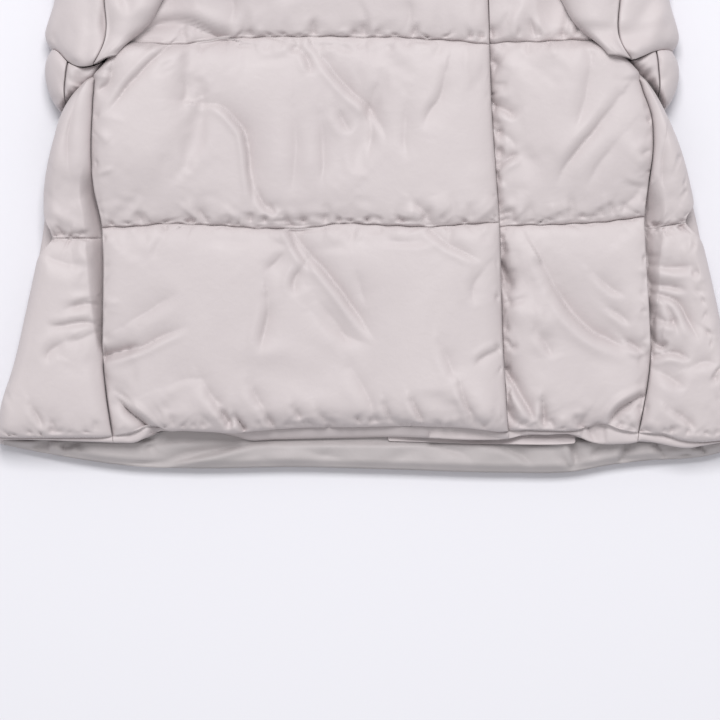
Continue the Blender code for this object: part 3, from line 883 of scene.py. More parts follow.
def flatPanel(name, across, along, place, top, under, settings):
    # A padded panel of the body: a coarse sheet is simulated, and its shift goes to a finer one
    def sheet(across, along):
        mesh, column, row = gridMesh(name, across, along)
        u, v = across[column], along[row]
        x, y, hang = place(u, v)
        fromLine, inside = lineDistance(v, stitchedLines), settings["inside"](x, y)
        lineFade, seamFade = settings["foldFade"]
        near = np.sqrt(roundRise(fromLine, lineFade) * roundRise(inside, seamFade)) * (v > hemStitch)
        z = top(x, y, v) + settings["soft"] * ridges(x, y, settings["folds"]) * near
        edge = (column == 0) | (column == column.max()) | (row == 0) | (row == row.max())
        return mesh, (column, row, edge), (u, v), (x, y, z, hang), (fromLine, inside)

    mesh, (column, row, edge), (u, v), (x, y, z, hang), (fromLine, inside) = sheet(across, along)
    start = toFrame(x, y - hang, z)
    setPoints(mesh, start)
    faceUp(mesh)
    held = edge | (fromLine < 0.01) | (v < hemStitch)
    if "alsoHeld" in settings:
        held |= settings["alsoHeld"](u, v)
    moved = inflate(mesh, held, settings["cap"])
    bpy.data.meshes.remove(mesh)
    free = (1 - pressed(x, y)) * (1 - covered(y) * settings["under"]) * (1 - settings["calm"](x, y))
    free = free * (0.4 + 0.6 * ramp(np.minimum(fromLine, inside), 0, 10))
    shift = np.empty((len(along), len(across), 3))
    shift[row, column] = (moved - start) * free[:, None]
    # The panels stay flat between their rims, so only the folds are kept of what the cloth swelled up
    flatter = np.zeros(shift.shape[:2])
    flatter[row, column] = ramp(fromLine, 0, settings["swellFade"]) * ramp(inside, 0, settings["swellFade"])
    shift[..., 2] -= settings["press"] * flatter * smoothed(shift[..., 2], settings["swellRounds"])
    for _ in range(2):
        shift = between(between(shift).transpose(1, 0, 2)).transpose(1, 0, 2)
        across, along = halved(across), halved(along)

    mesh, (column, row, edge), (u, v), (x, y, z, hang), (fromLine, inside) = sheet(across, along)
    sink = settings["sink"] * np.where(v < hemStitch + 0.1, 0.35, 1)
    z = z - sink * np.where(edge, 1, 1.1 * (fromLine < 0.01))
    loose = ramp(fromLine, 0, 2) * ramp(inside, 0, 2) * (v > hemStitch)
    drop, lapX, lapY = creases(x, y - hang, settings["creases"])
    lipDrop = creases(x, y - hang, settings["lipCreases"])[0]
    z = z + np.maximum(settings["crisp"] * drop, -settings["deepest"]) * loose
    z = z + np.maximum(lipDrop, -settings["lipDeepest"]) * (v < hemStitch) * (row > 0)
    moved = toFrame(x + lapX * loose, y - hang + lapY * loose, z) + shift[row, column]
    inner = toFrame(x, y, under(x, y) - lipDroop(x, v))
    moved[:, 2] = np.maximum(moved[:, 2], inner[:, 2] + settings["thinnest"] * mm)
    setPoints(mesh, moved)
    faceUp(mesh)
    for line in settings["sewn"]:
        at = np.nonzero(np.abs(v - line) < 0.01)[0]
        at = at[np.argsort(column[at])]
        stitchPaths.append((moved[at], "hem" if line == hemStitch else "quilt"))
    piece = closePad(name, mesh, moved, inner, settings["material"], column, row, settings["padStep"], 0)
    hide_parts(settings["node"])
    print(name, "made:", len(piece.data.vertices), "points")
    return piece


def chestLines(start, end, off, counts):
    # The two quilted lines across the chest, with folds above and below each
    return [
        ((start, line + way * off), (end, line + way * off), (0, way), count)
        for line in quiltLines[3:]
        for way, count in zip((1, -1), counts)
    ]


rightFrontCreases = [
    # line of points, depth, width on its right hand and on its left, strength at its start
    ([(-173, 344), (-192, 325), (-209, 307), (-228, 280)], 2, 1.1, 5, 0.9),
    ([(-222, 322), (-222, 314), (-226, 309), (-236, 303)], 2, 1.2, 6, 0.8),
    ([(-144, 294), (-124, 293), (-108, 275), (-102, 265), (-98, 222), (-95, 190)], 3, 1.3, 12, 0.3),
    ([(-157, 325), (-155, 305), (-160, 292), (-150, 288)], 1.5, 4, 8, 0.2),
    ([(-55, 344), (-50, 338), (-46, 326), (-45, 318)], 2, 1.2, 5, 0.6),
    ([(-44, 347), (-27, 324), (-13, 307), (4, 293), (13, 280), (21, 265), (20, 249)], 2.4, 1.6, 10, 0.5),
    ([(-104, 352), (-120, 357), (-138, 365), (-160, 367), (-180, 365), (-195, 356), (-205, 349)],
     0.01, 1, 2, 0),
    ([(-22, 290), (-16, 276), (-8, 267)], 1.6, 2, 6, 0.3),
    ([(-37, 284), (-34, 250), (-36, 215)], 1.5, 3, 9, 0.3),
    ([(-60, 290), (-58, 250), (-64, 205)], 1.4, 4, 12, 0.3),
    ([(10, 302), (4, 285), (10, 270), (4, 240)], 1.3, 2, 8, 0.3),
    ([(74, 322), (70, 300), (58, 285), (52, 268)], 1.5, 1.8, 9, 0.5),
    ([(42, 300), (36, 270), (40, 240)], 1.1, 3, 9, 0.3),
    ([(44, 208), (54, 198), (62, 191)], 1.6, 1.2, 5, 0.2),
    ([(-147, 200), (-138, 190)], 1.4, 1.1, 4, 0.5),
    ([(-95, 222), (-88, 204), (-80, 192)], 1.8, 1, 4, 0.2),
    ([(-84, 205), (-77, 193)], 1.5, 0.9, 4, 0.2),
    ([(-62, 182), (-50, 165), (-30, 143), (-11, 117), (6, 92), (16, 78)], 3, 1.6, 11, 0.5),
    ([(-66, 184), (-57, 166), (-48, 151), (-44, 142)], 2, 1.2, 5, 0.6),
    ([(-52, 152), (-62, 135), (-58, 122)], 1.6, 1.6, 7, 0.4),
    ([(-67, 165), (-80, 150), (-88, 145)], 1.2, 2, 8, 0.3),
    ([(-84, 122), (-82, 108), (-88, 88), (-90, 70)], 2, 2, 10, 0.4),
    ([(-230, 70), (-212, 75), (-195, 80)], 3, 0.9, 4, 1),
    ([(-228, 66), (-200, 75), (-176, 88), (-150, 98)], 1.8, 1.2, 6, 0.8),
    ([(-212, 96), (-185, 112), (-160, 128)], 1.2, 2.5, 10, 0.3),
    ([(-176, 42), (-150, 52), (-130, 47)], 1, 4, 12, 0.3),
    ([(-180, -6), (-188, 6), (-195, 13), (-206, 22), (-222, 36)], 5, 1.3, 5, 1),
    ([(-219, 40), (-205, 30), (-200, 22)], 1.4, 1, 3, 0.4),
    ([(-128, 24), (-118, 12), (-113, 5)], 3.2, 1.3, 4, 0.3),
    ([(-112, 16), (-106, 6), (-104, 0)], 4, 1, 3, 0.5),
    ([(-140, 46), (-130, 30), (-118, 25)], 1.6, 2.2, 7, 0.4),
    ([(-98, 45), (-92, 30), (-84, 20)], 1.5, 2, 6, 0.4),
    ([(-86, 20), (-80, 8), (-76, 2)], 2.4, 1.1, 4, 0.5),
    ([(-60, 24), (-54, 10)], 1.8, 1.2, 4, 0.5),
    ([(-38, 20), (-30, 6)], 1.6, 1.2, 4, 0.5),
    ([(-10, 60), (4, 38), (10, 18), (8, 6)], 1.4, 2.5, 8, 0.4),
    ([(-40, 120), (-20, 96), (-8, 76)], 1.4, 2.5, 10, 0.3),
    ([(-46, 110), (-24, 92), (-6, 84), (14, 78)], 1.2, 3, 9, 0.3),
    ([(-6, 150), (-2, 130), (6, 112)], 0.9, 3, 9, 0.3),
    ([(60, 182), (76, 168), (92, 160), (110, 152)], 1.6, 1, 8, 0.8),
    ([(70, 80), (78, 60), (84, 46)], 1.2, 1.8, 7, 0.4),
    ([(86, 44), (92, 26), (100, 10)], 2, 1.3, 5, 0.5),
    ([(44, 30), (52, 12), (56, 4)], 2.2, 1.2, 4, 0.6),
    ([(20, 26), (24, 12), (22, 4)], 1.8, 1.2, 4, 0.6),
    ([(122, 76), (108, 70), (98, 60)], 1.4, 1.3, 5, 0.8),
    ([(110, 150), (96, 130), (100, 112)], 1, 2, 8, 0.4),
]
rightFrontCreases += runs(
    gathers,
    # from, to, way in, pitch, then lengths, depths, sharpness and lean where they aren't the usual ones
    ((-226, 187), (118, 189), (0, 1), 12),
    ((-226, 184), (118, 186), (0, -1), 26, (3, 10), (0.4, 1.1)),
    ((-200, 347), (112, 348), (0, -1), 24, (3, 14), (0.4, 1.2)),
    ((-114, 353), (110, 352), (0, 1), 14),
    ((-180, 6), (124, 6), (0, 1), 9, (6, 26), (0.6, 1.8), (0.9, 1.5), 0.5),
    ((-226, 3), (-188, 3), (0, 1), 12, (3, 9), (0.3, 1)),
    ((-229, 12), (-238, 300), (1, 0), 24, (3, 14), (0.4, 1.2)),
    ((126, 10), (112, 345), (-1, 0), 26, (3, 10), (0.3, 0.9)),
    *chestLines(-195, 100, 1, (14, 18)),
)
# The slack fold that stands over the line across the chest of the right front
lensFold = [
    ([(-212, 343), (-205, 349), (-196, 356), (-188, 362), (-179, 366), (-167, 367), (-152, 366), (-142, 360),
      (-131, 355), (-122, 353)], 3.4, 2.2, 8, 0.9),
    ([(-160, 364), (-159, 356), (-157, 353)], 1.6, 1, 3, 0.6),
    ([(-120, 400), (-112, 380), (-116, 362)], 1.6, 3, 10, 0.4),
    ([(40, 388), (44, 370), (36, 358)], 1.2, 3, 9, 0.4),
]
rightFrontCreases += [(row[0][::-1], *row[1:]) for row in lensFold]

rightFrontFolds = runs(
    puckers,
    ((-226, 187), (118, 189), (0, 1), 16),
    ((-226, 185), (118, 187), (0, -1), 10),
    ((-200, 348), (112, 348), (0, -1), 12),
    ((-114, 352), (110, 352), (0, 1), 12),
    ((-180, 2), (126, 4), (0, 1), 16, (8, 26), (0.5, 1.4)),
    ((-230, 20), (-236, 330), (1, 0), 12, (8, 30)),
    *chestLines(-195, 100, 0, (12, 12)),
)
rightFrontFolds += runs(
    softFolds,
    ((-220, 10, 110, 180), 15, (40, 110), 1.1, (8, 17)),
    ((-220, 195, 110, 345), 15, (40, 110), 1.1, (8, 17)),
    ((-180, 360, 90, 800), 50, (30, 90), 1.5, (7, 14)),
)
rightFront = dict(
    panel, node="front_right", soft=1.1, cap=11, fill=0.65, under=0,
    folds=rightFrontFolds, creases=rightFrontCreases, sewn=stitchedLines,
    lipCreases=[
        ([(-181, 10), (-186, 2), (-194, -5)], 3, 1, 5, 1),
        ([(-205, 4), (-208, -2), (-207, -7)], 1.2, 1, 3, 0.8),
    ],
    inside=lambda x, y: np.minimum(x + frontReach(right, y), placketEdge(y) - x),
    calm=lambda x, y: 0,
)


def rightFrontPlace(u, v):
    start = -frontReach(right, v) + seamGap
    x = start + u * (placketEdge(v) + 0.9 - start)
    y = placeBody(x, v, frontNeckDrop) + hemPlace(x, v) + lineShift(right, x, v)
    return x, y, overhang(x, v)


rightFrontPanel = flatPanel(
    "rightFrontPanel",
    spread(350, 6.4, sheetEnds) / 350,
    bodyRows,
    rightFrontPlace,
    lambda x, y, v: rightFrontTop(x, y, v, rightFront["rise"]),
    lambda x, y: rightFrontUnder(x, y) + pocketLift(right, x, y),
    rightFront,
)

leftFrontCreases = [
    ([(160, 151), (178, 118), (200, 93), (229, 80), (252, 71)], 4.2, 2.4, 17, 0.5),
    ([(232, 86), (244, 78), (252, 72)], 2.4, 1, 4, 0.3),
    ([(122, 150), (126, 140), (134, 128)], 5.5, 1.8, 5, 1),
    ([(124, 132), (129, 122), (133, 112)], 1.6, 1.3, 5, 1),
    ([(127, 58), (135, 44), (144, 30), (151, 16), (157, 7)], 4.4, 1.8, 8, 0.8),
    ([(124, 30), (132, 16), (138, 8)], 2, 2, 5, 0.5),
    ([(160, 30), (161, 14), (163, 6)], 3.4, 1.1, 4, 0.4),
    ([(247, 34), (229, 25), (220, 12), (217, 5)], 4.6, 1.4, 7, 0.6),
    ([(200, 20), (194, 10), (197, 5)], 1.6, 1.5, 4, 0.3),
    ([(154, 92), (166, 76), (168, 66)], 1.4, 1.6, 8, 0.3),
    ([(204, 144), (222, 128), (236, 122)], 1.4, 1.4, 7, 0.3),
    ([(216, 114), (232, 104), (240, 96)], 1.3, 1.2, 5, 0.4),
    ([(150, 130), (158, 100), (150, 80)], 1, 4, 14, 0.3),
    ([(203, 337), (198, 300), (186, 262)], 1.4, 3, 11, 0.4),
    ([(228, 300), (204, 268), (178, 238), (170, 214)], 2.2, 2, 9, 0.4),
    ([(232, 268), (206, 236), (196, 214)], 1.2, 3, 10, 0.3),
    ([(119, 292), (130, 287), (136, 278)], 2.6, 1.6, 7, 1),
    ([(122, 240), (131, 246), (140, 250)], 2.4, 1.4, 5, 1),
    ([(122, 268), (132, 262), (138, 252)], 1.2, 2, 8, 0.9),
    ([(232, 204), (242, 210), (248, 222)], 1.2, 2, 7, 0.5),
]
leftFrontCreases += runs(
    gathers,
    ((126, 187), (246, 196), (0, 1), 9, (4, 22), (0.5, 1.8)),
    ((124, 184), (250, 192), (0, -1), 22, (3, 10), (0.4, 1.1)),
    ((114, 347), (205, 350), (0, -1), 20, (3, 14), (0.4, 1.2)),
    ((112, 352), (202, 353), (0, 1), 14),
    ((134, 6), (246, 6), (0, 1), 8, (6, 22), (0.6, 1.9), (1.1, 2), 0.3),
    ((130, 12), (114, 340), (1, 0), 11, (4, 20), (0.6, 2)),
    ((250, 15), (256, 300), (-1, 0), 18, (4, 14), (0.4, 1.3)),
    *chestLines(104, 198, 1, (12, 16)),
)
leftFrontFolds = runs(
    puckers,
    ((124, 186), (250, 193), (0, 1), 9),
    ((114, 348), (205, 350), (0, -1), 6),
    ((114, 352), (202, 352), (0, 1), 6),
    ((132, 2), (242, 0), (0, 1), 8, (8, 26), (0.5, 1.4)),
    ((130, 12), (114, 340), (1, 0), 14, (8, 26), (0.8, 2.4)),
    ((254, 20), (256, 300), (-1, 0), 12, (8, 30)),
    *chestLines(104, 198, 0, (6, 6)),
)
leftFrontFolds += runs(
    softFolds,
    ((130, 10, 245, 345), 15, (30, 90), 1.2, (8, 16)),
    ((110, 360, 190, 800), 24, (30, 80), 1.4, (7, 14)),
)
leftFront = dict(
    panel, node="front_left", soft=1.1, cap=11, fill=0.65, under=0,
    folds=leftFrontFolds, creases=leftFrontCreases, sewn=stitchedLines,
    lipCreases=[
        ([(200, 9), (204, 0), (212, -8)], 3.4, 1.2, 4, 1),
        ([(211, 8), (206, 2), (203, -2)], 2, 1.2, 3, 1),
        ([(236, 3), (242, -3), (250, -6)], 1.4, 1.2, 4, 0.6),
    ],
    inside=lambda x, y: np.clip(np.minimum(x - placketEdge(y), frontReach(left, y) - x), 0, 99),
    alsoHeld=lambda u, v: u <= 0.004,
    calm=lambda x, y: np.clip(placketSink(x, y) / 9, 0, 1),
)


def leftFrontPlace(u, v):
    edge = placketEdge(v)
    reach = frontReach(left, v) - seamGap - edge
    x = edge + np.where(u < 0, u * underlap, u * reach)
    y = placeBody(x, v, frontNeckDrop) + lineShift(left, x, v) * ramp(x, edge - 20, edge + 10)
    return x, y + hemPlace(x, v), overhang(x, v)


leftFrontColumns = np.concatenate([np.linspace(-1, -0.1, 6), [0.003], spread(120, 6.4, sheetEnds)[1:] / 120])
leftFrontPanel = flatPanel(
    "leftFrontPanel",
    leftFrontColumns,
    bodyRows,
    leftFrontPlace,
    lambda x, y, v: leftFrontTop(x, y, v, leftFront["rise"]),
    lambda x, y: frontUnder(x, y) + pocketLift(left, x, y),
    leftFront,
)

sideCreases = {
    right: [
        ([(-237, 116), (-246, 117), (-260, 112)], 1.5, 1, 4, 1),
        ([(-237, 99), (-250, 101), (-268, 96), (-282, 100)], 1.5, 1, 5, 1),
        ([(-236, 92), (-252, 84), (-264, 82)], 0.9, 1.8, 7, 0.8),
        ([(-240, 122), (-254, 116), (-268, 110)], 0.8, 1.8, 7, 0.8),
        ([(-262, 84), (-280, 74), (-276, 62)], 1.3, 2, 8, 0.4),
        ([(-293, 27), (-287, 15), (-280, 5)], 1.5, 1.2, 4, 0.4),
        ([(-277, 14), (-270, 5)], 1.2, 1.2, 4, 0.3),
        ([(-290, 164), (-262, 150), (-244, 154)], 1.1, 3, 12, 0.4),
        ([(-252, 300), (-262, 260), (-258, 226)], 1.4, 3, 10, 0.4),
    ],
    left: [
        ([(256, 126), (276, 122), (285, 111), (292, 95), (300, 80)], 3, 1.6, 8, 0.9),
        ([(261, 113), (258, 100), (261, 93)], 3, 1.6, 5, 0.6),
        ([(258, 85), (265, 77), (272, 83)], 3.4, 1.4, 5, 0.9),
        ([(258, 70), (274, 74), (293, 67)], 2.8, 1.3, 6, 0.9),
        ([(260, 58), (274, 50), (288, 41)], 2, 2.4, 9, 0.5),
        ([(256, 151), (278, 147), (296, 151)], 2, 1.6, 7, 0.7),
        ([(258, 134), (274, 131), (290, 128)], 2.2, 1.4, 6, 0.8),
        ([(266, 120), (276, 104), (280, 88)], 2, 1.6, 6, 0.4),
        ([(262, 104), (272, 98), (280, 104)], 1.8, 1.2, 4, 0.5),
        ([(290, 60), (304, 66), (316, 62)], 1.4, 2, 7, 0.4),
        ([(268, 262), (264, 230), (270, 214)], 1.6, 3, 10, 0.4),
        ([(272, 24), (286, 14), (300, 2)], 1.8, 1.4, 6, 0.4),
    ],
}
sideDrawn = {right: (11, 13), left: (12, 12)}  # how far the stitches draw the edge in, and how high up


def makeSide(side):
    low, high = armhole["height"][0], body["height"][-1]
    drop = quiltLines[1] - sideLines(side)[1]

    def place(u, v):
        y = stretched(v, quiltLines[-2], high, low + (high - low) * (1 - u) ** 2)
        y = y - drop * bump(v, quiltLines[1], 60)
        if side == left:
            y = y + 7 * u * bump(v, quiltLines[1], 40)
        inner = seamEdge(side, y) + seamGap - pocket["slip"] * pocketOpen(side, y)
        # The side's outer edge is drawn in where it is stitched, and the back shows beyond it
        depth, height = sideDrawn[side]
        width = follow(body, sideNames[side], y) - inner - depth * bump(v, quiltLines[1], height)
        x = side * (inner + u * width)
        return x, y + hemPlace(x, v), 0 * x

    lines = sideLines(side)[1:3]
    folds = runs(
        puckers,
        *(((side * 240, line), (side * 296, line), (0, way), 7) for line in lines for way in (1, -1)),
        ((side * 228, 3), (side * 322, 0), (0, 1), 7, (8, 30), (0.6, 1.6)),
        ((side * 238, 60), (side * 242, 240), (side, 0), 10, (10, 34), (0.6, 1.6)),
        ((side * 326, 10), (side * 285, 250), (-side, 0), 12, (8, 26), (0.8, 2)),
    )
    slack = (240, 310, 10, 300, 10, (30, 80), 1.2, (7, 14)), (200, 230, 340, 600, 14)
    for near, far, bottom, top, *rest in slack:
        start, end = inOrder(side, near, far)
        folds += softFolds(random, (start, bottom, end, top), *rest)
    sharp = list(sideCreases[side])
    for line in lines:
        ends = (side * 242, line + 1), (side * 290, line + 1)
        sharp += runs(
            gathers, (*ends, (0, 1), 6, (4, 20), (0.7, 2.2)), (*ends, (0, -1), 12, (4, 12), (0.5, 1.5))
        )
    sharp += gathers(random, (side * 234, 3), (side * 322, 0), (0, 1), 9, (4, 16), (0.5, 1.6))
    if side == left:
        sharp += gathers(random, (244, 20), (252, 250), (1, 0), 14, (8, 24), (0.6, 1.6))
    sharp += gathers(random, (side * 320, 20), (side * 282, 250), (-side, 0), 16, (4, 12), (0.4, 1.2))
    settings = dict(
        panel,
        node="side_" + sideNames[side],
        soft=0.7,
        cap=9,
        fill=0.6,
        under=1,
        folds=folds,
        creases=sharp,
        sewn=stitchedLines[:3],
        lipCreases=[([(side * 268, 2), (side * 274, -5)], 1, 1, 3, 0.8)],
        calm=lambda x, y: pocketOpen(side, y) * np.exp(-np.maximum(pastSeam(side, x, y), 0) / 11),
        inside=lambda x, y: np.clip(np.minimum(pastSeam(side, x, y), bodyEdge(side, y) - np.abs(x)), 0, 99),
    )
    rows = np.append(hemBead, cellRows(np.append(stitchedLines[:4], high), bodySteps[:4], sheetEnds))
    return flatPanel(
        sideNames[side] + "SidePanel",
        spread(100, 6.4, sheetEnds) / 100,
        rows,
        place,
        lambda x, y, v: sideTop(side, x, y, v, settings["rise"]),
        frontUnder,
        settings,
    )


bodyPieces = [rightFrontPanel, leftFrontPanel] + [makeSide(side) for side in (right, left)]

back = dict(columnStep=10, rowStep=10, padStep=3, fill=0.5, folds=60, sag=0.8, deepest=-1.5, highest=1.2)


def makeBack():
    columns = spread(650, back["columnStep"], (1.5, 4, 8)) / 325 - 1
    rows = cellRows(bodyLines, (back["rowStep"],) * 5)
    mesh, column, row = gridMesh("back", columns, rows)
    x, y = backPlace(columns[column], rows[row])
    folds = softFolds(random, (-280, 20, 280, 800), back["folds"], (40, 120), back["sag"], (8, 18))
    soft = np.clip(ridges(x, y, folds), back["deepest"], back["highest"])
    soft = soft * ramp(fromEdge(x, y), 4, 30)
    top = backTop(x, y) - 0.4 - np.abs(soft) * 0.5
    under = np.maximum(backUnder(x, y) + np.maximum(soft, 0) * 0.8, 0)
    setPoints(mesh, toFrame(x, y, top))
    faceUp(mesh)
    outer, inner = toFrame(x, y, under), toFrame(x, y, top)
    piece = closePad("backPanel", mesh, outer, inner, shellCloth, column, row, back["padStep"])
    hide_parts("back")
    print("backPanel made")
    return piece


backPanel = makeBack()

facing = dict(reach=60, thick=0.8, lift=0.5, columns=330, rows=44, width=0.985, swell=8, crisp=1.8, deepest=9)


def thinSheet(name, mesh, thick, material, levels=1):
    piece = addPiece(name, mesh, material, 0)
    wall = piece.modifiers.new("wall", "SOLIDIFY")
    wall.thickness = thick * mm
    wall.offset = -1
    if levels:
        smooth = piece.modifiers.new("smooth", "SUBSURF")
        smooth.levels = smooth.render_levels = levels
    return piece


facingCreases = [
    ([(-197, -32), (-172, -25), (-153, -19), (-130, -14), (-108, -9.6), (-80, -6)], 6.5, 1, 10, 0.6),
    ([(-300, -9), (-285, -12), (-272, -12)], 2, 1.3, 4, 0.5),
    ([(-280, -4), (-283, -11), (-287, -18)], 8, 4.5, 1.5, 1),
    ([(-262, -5), (-263, -9), (-270, -13)], 6, 2, 5, 1),
    ([(-256, -4), (-262, -6), (-268, -7)], 6, 2, 4, 1),
    ([(-255, -3), (-252, -12), (-256, -19)], 2, 1.4, 5, 0.9),
    ([(-190, -8), (-196, -4), (-184, -1)], 2, 1.6, 5, 0.6),
    ([(-172, -3), (-184, -9), (-198, -13)], 3.4, 1.4, 7, 0.8),
    ([(-60, -12), (-30, -20), (0, -24)], 1.6, 2.5, 9, 0.3),
    ([(60, -8), (84, -14), (104, -26)], 2, 2, 8, 0.5),
    ([(110, -8), (134, -12), (158, -31)], 3, 1.4, 8, 0.4),
    ([(187, -5), (189, -14), (191, -24), (188, -32)], 5, 1.4, 7, 0.9),
    ([(176, -20), (184, -26), (191, -33)], 2.4, 1.2, 4, 0.5),
    ([(214, -8), (207, -16), (204, -24)], 2.4, 1.6, 6, 0.6),
    ([(236, -8), (233, -18), (229, -28)], 4.4, 1.4, 7, 0.9),
    ([(262, -8), (268, -16), (274, -22)], 3, 1.6, 6, 0.9),
    ([(298, -8), (304, -13), (309, -18)], 4.5, 1, 4, 0.9),
    ([(282, -19), (290, -17), (296, -19)], 2, 1, 3, 0.5),
]
facingFolds = [
    (-130, -26, -60, -6, -1.4, 7, 0.6),
    (-96, -22, -20, -12, 1.2, 7, 0),
    (10, -28, 60, -8, -1.4, 6, 0.6),
    (70, -26, 130, -14, 1.2, 7, 0),
]
facingFolds += softFolds(random, (-300, -28, 300, 4), 34, (16, 50), 0.9, (4, 8))


def facingPoints(u, v, lift):
    x, y = backPlace(u, v)
    inside = fromEdge(x, y)
    middle = ramp(x, -200, -180) * (1 - ramp(x, 150, 190))
    hidden = ramp(y, -7 - 4 * middle, -2 - 2 * middle)
    soft = ridges(x, y, facingFolds) * ramp(inside, 2, 20) * (1 - hidden) * ramp(v, 0, 7)
    swell = facing["swell"] * np.sqrt(ramp(inside, 1, 26)) * ramp(v, 0, 6) * (1 - hidden)
    sharp = facing["crisp"] * creases(x, y, facingCreases)[0] * (1 - hidden) * ramp(v, 0, 3)
    shape = np.maximum(swell + soft + np.maximum(sharp, -facing["deepest"]), -0.6)
    return x, y, backTop(x, y) + lift + shape + 1


def makeFacing():
    columns = np.linspace(-facing["width"], facing["width"], facing["columns"])
    rows = np.linspace(0, facing["reach"], facing["rows"])
    mesh, column, row = gridMesh("facing", columns, rows)
    x, y, z = facingPoints(columns[column], rows[row], facing["lift"])
    setPoints(mesh, toFrame(x, y, z))
    faceUp(mesh)
    piece = thinSheet("backHemFacing", mesh, facing["thick"], facingCloth, 0)
    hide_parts("hem_facing_back")
    print("backHemFacing made")
    return piece


facingPiece = makeFacing()

flap = dict(
    start=23, end=190, low=19, high=44, columns=44, rows=9, thick=0.7, lift=2.2, clear=1, raised=(118, 142)
)


def makeFlap():
    reach = body["left"][1]
    columns = np.linspace(flap["start"], flap["end"], flap["columns"]) / reach
    rows = np.linspace(flap["low"], flap["high"], flap["rows"])
    mesh, column, row = gridMesh("flap", columns, rows)
    x, y, z = facingPoints(columns[column], rows[row], facing["lift"] + flap["lift"])
    z = z + 0.4 * np.sin(x / 9)
    # Its bare end hangs close under the left front
    below = frontUnder(x, y) - flap["clear"] + 0.6 * np.maximum(-1 - y, 0)
    z = z + ramp(x, *flap["raised"]) * np.maximum(below - z, 0)
    setPoints(mesh, toFrame(x, y, z))
    faceUp(mesh)
    piece = thinSheet("windFlapEnd", mesh, flap["thick"], shellCloth)
    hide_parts("wind_flap")
    print("windFlapEnd made")


makeFlap()

tube = dict(material=shellCloth, sink=(3, 2.6), crisp=1.6, padStep=3, roundness=2.6)
sleeve = dict(
    tube, steps=17, step=6, wall=9, cap=7, fill=0.65, lines=sleeveLines[:3], rise=28, innerHeight=20,
    outerHeight=18, thinnest=10, seamDip=(2.5, 4),
)
cuff = dict(
    tube, steps=14, step=3, wall=5, cap=4, fill=0.55, lines=np.array([cuffEnd]), rise=25, lift=5,
    seamDip=(2, 3),
)
bodyHeights = dict(step=3, x=-348, y=180, columns=232, rows=245)


def measureBody(pieces):
    # The height of the finished fronts and sides over a grid of squares, a little smoothed
    grid = np.zeros((bodyHeights["columns"], bodyHeights["rows"]))
    for piece in pieces:
        at = points(piece.data) / mm
        i = np.floor((at[:, 0] + centreX - bodyHeights["x"]) / bodyHeights["step"]).astype(int)
        j = np.floor((at[:, 1] + centreY - bodyHeights["y"]) / bodyHeights["step"]).astype(int)
        near = (j >= 0) & (j < bodyHeights["rows"])
        np.maximum.at(grid, (i[near], j[near]), at[near, 2])
    wide = np.pad(grid, 1, mode="edge")
    parts = [wide[i : i + grid.shape[0], j : j + grid.shape[1]] for i in range(3) for j in range(3)]
    bodyHeights["grid"] = np.mean(parts, axis=0)


def heightAt(x, y):
    grid = bodyHeights["grid"]
    i = np.clip((x - bodyHeights["x"]) / bodyHeights["step"] - 0.5, 0, bodyHeights["columns"] - 1.01)
    j = np.clip((y - bodyHeights["y"]) / bodyHeights["step"] - 0.5, 0, bodyHeights["rows"] - 1.01)
    low, down = i.astype(int), j.astype(int)
    i, j = i - low, j - down
    return (1 - i) * ((1 - j) * grid[low, down] + j * grid[low, down + 1]) + i * (
        (1 - j) * grid[low + 1, down] + j * grid[low + 1, down + 1]
    )


def sleeveFloor(side, reach, y):
    # What the sleeve lies on: the body, and past its edge the floor
    edge = bodyEdge(side, y)
    underarm = 5 * bump(y, armhole["height"][0], 20)
    held = heightAt(side * np.minimum(reach, edge - 4), y) + 1.6 + underarm
    pastEdge = np.clip((reach - edge - 4) / 22, 0, 1)
    return held * (1 - pastEdge)


def sleeveFullness(y):
    drawn = roundRise(lineDistance(y, sleeveLines[:3]), 45)
    return (0.45 + 0.55 * drawn) * (0.5 + 0.5 * roundRise(sleeveLines[3] - y + 6, 60))


def tubeBulge(rows, reach, y):
    inner, outer = follow(rows, "inner", y), follow(rows, "outer", y)
    across = np.clip((reach - inner) / (outer - inner), 0, 1) * 2 - 1
    power = tube["roundness"]
    return across, np.maximum(1 - np.abs(across) ** power, 0) ** (1 / power)


def sleeveFaces(side, rows, reach, y):
    across, bulge = tubeBulge(rows, reach, y)
    floor = sleeveFloor(side, reach, y)
    innerEdge = np.maximum(sleeveFloor(side, follow(rows, "inner", y), y) + 1.5, sleeve["innerHeight"])
    middle = innerEdge + (sleeve["outerHeight"] - innerEdge) * (across + 1) / 2
    rise, (depth, width) = sleeve["rise"], sleeve["seamDip"]
    low = np.maximum(floor, middle - rise * 1.4 * bulge)
    high = np.maximum(middle + rise * sleeveFullness(y) * bulge, low + sleeve["thinnest"] * bulge)
    trough = depth * bump(reach, follow(rows, "seam", y), width) * bulge
    return low, high - trough, (low + high) / 2


def cuffFaces(side, rows, reach, y):
    across, bulge = tubeBulge(rows, reach, y)
    free = ramp(reach - bodyEdge(side, y), 0.3, 5)
    full = cuff["rise"] * free * roundRise(np.minimum(y - cuffEnd + 3, sleeveLines[0] - y + 9), 20)
    middle = cuffThick / 2 + cuff["lift"] * free
    depth, width = cuff["seamDip"]
    low = middle * (1 - bulge)
    high = middle + (cuffThick / 2 + full) * bulge
    trough = depth * bump(reach, follow(rows, "seam", y), width) * bulge * free
    return low, high - trough, (low + high) / 2


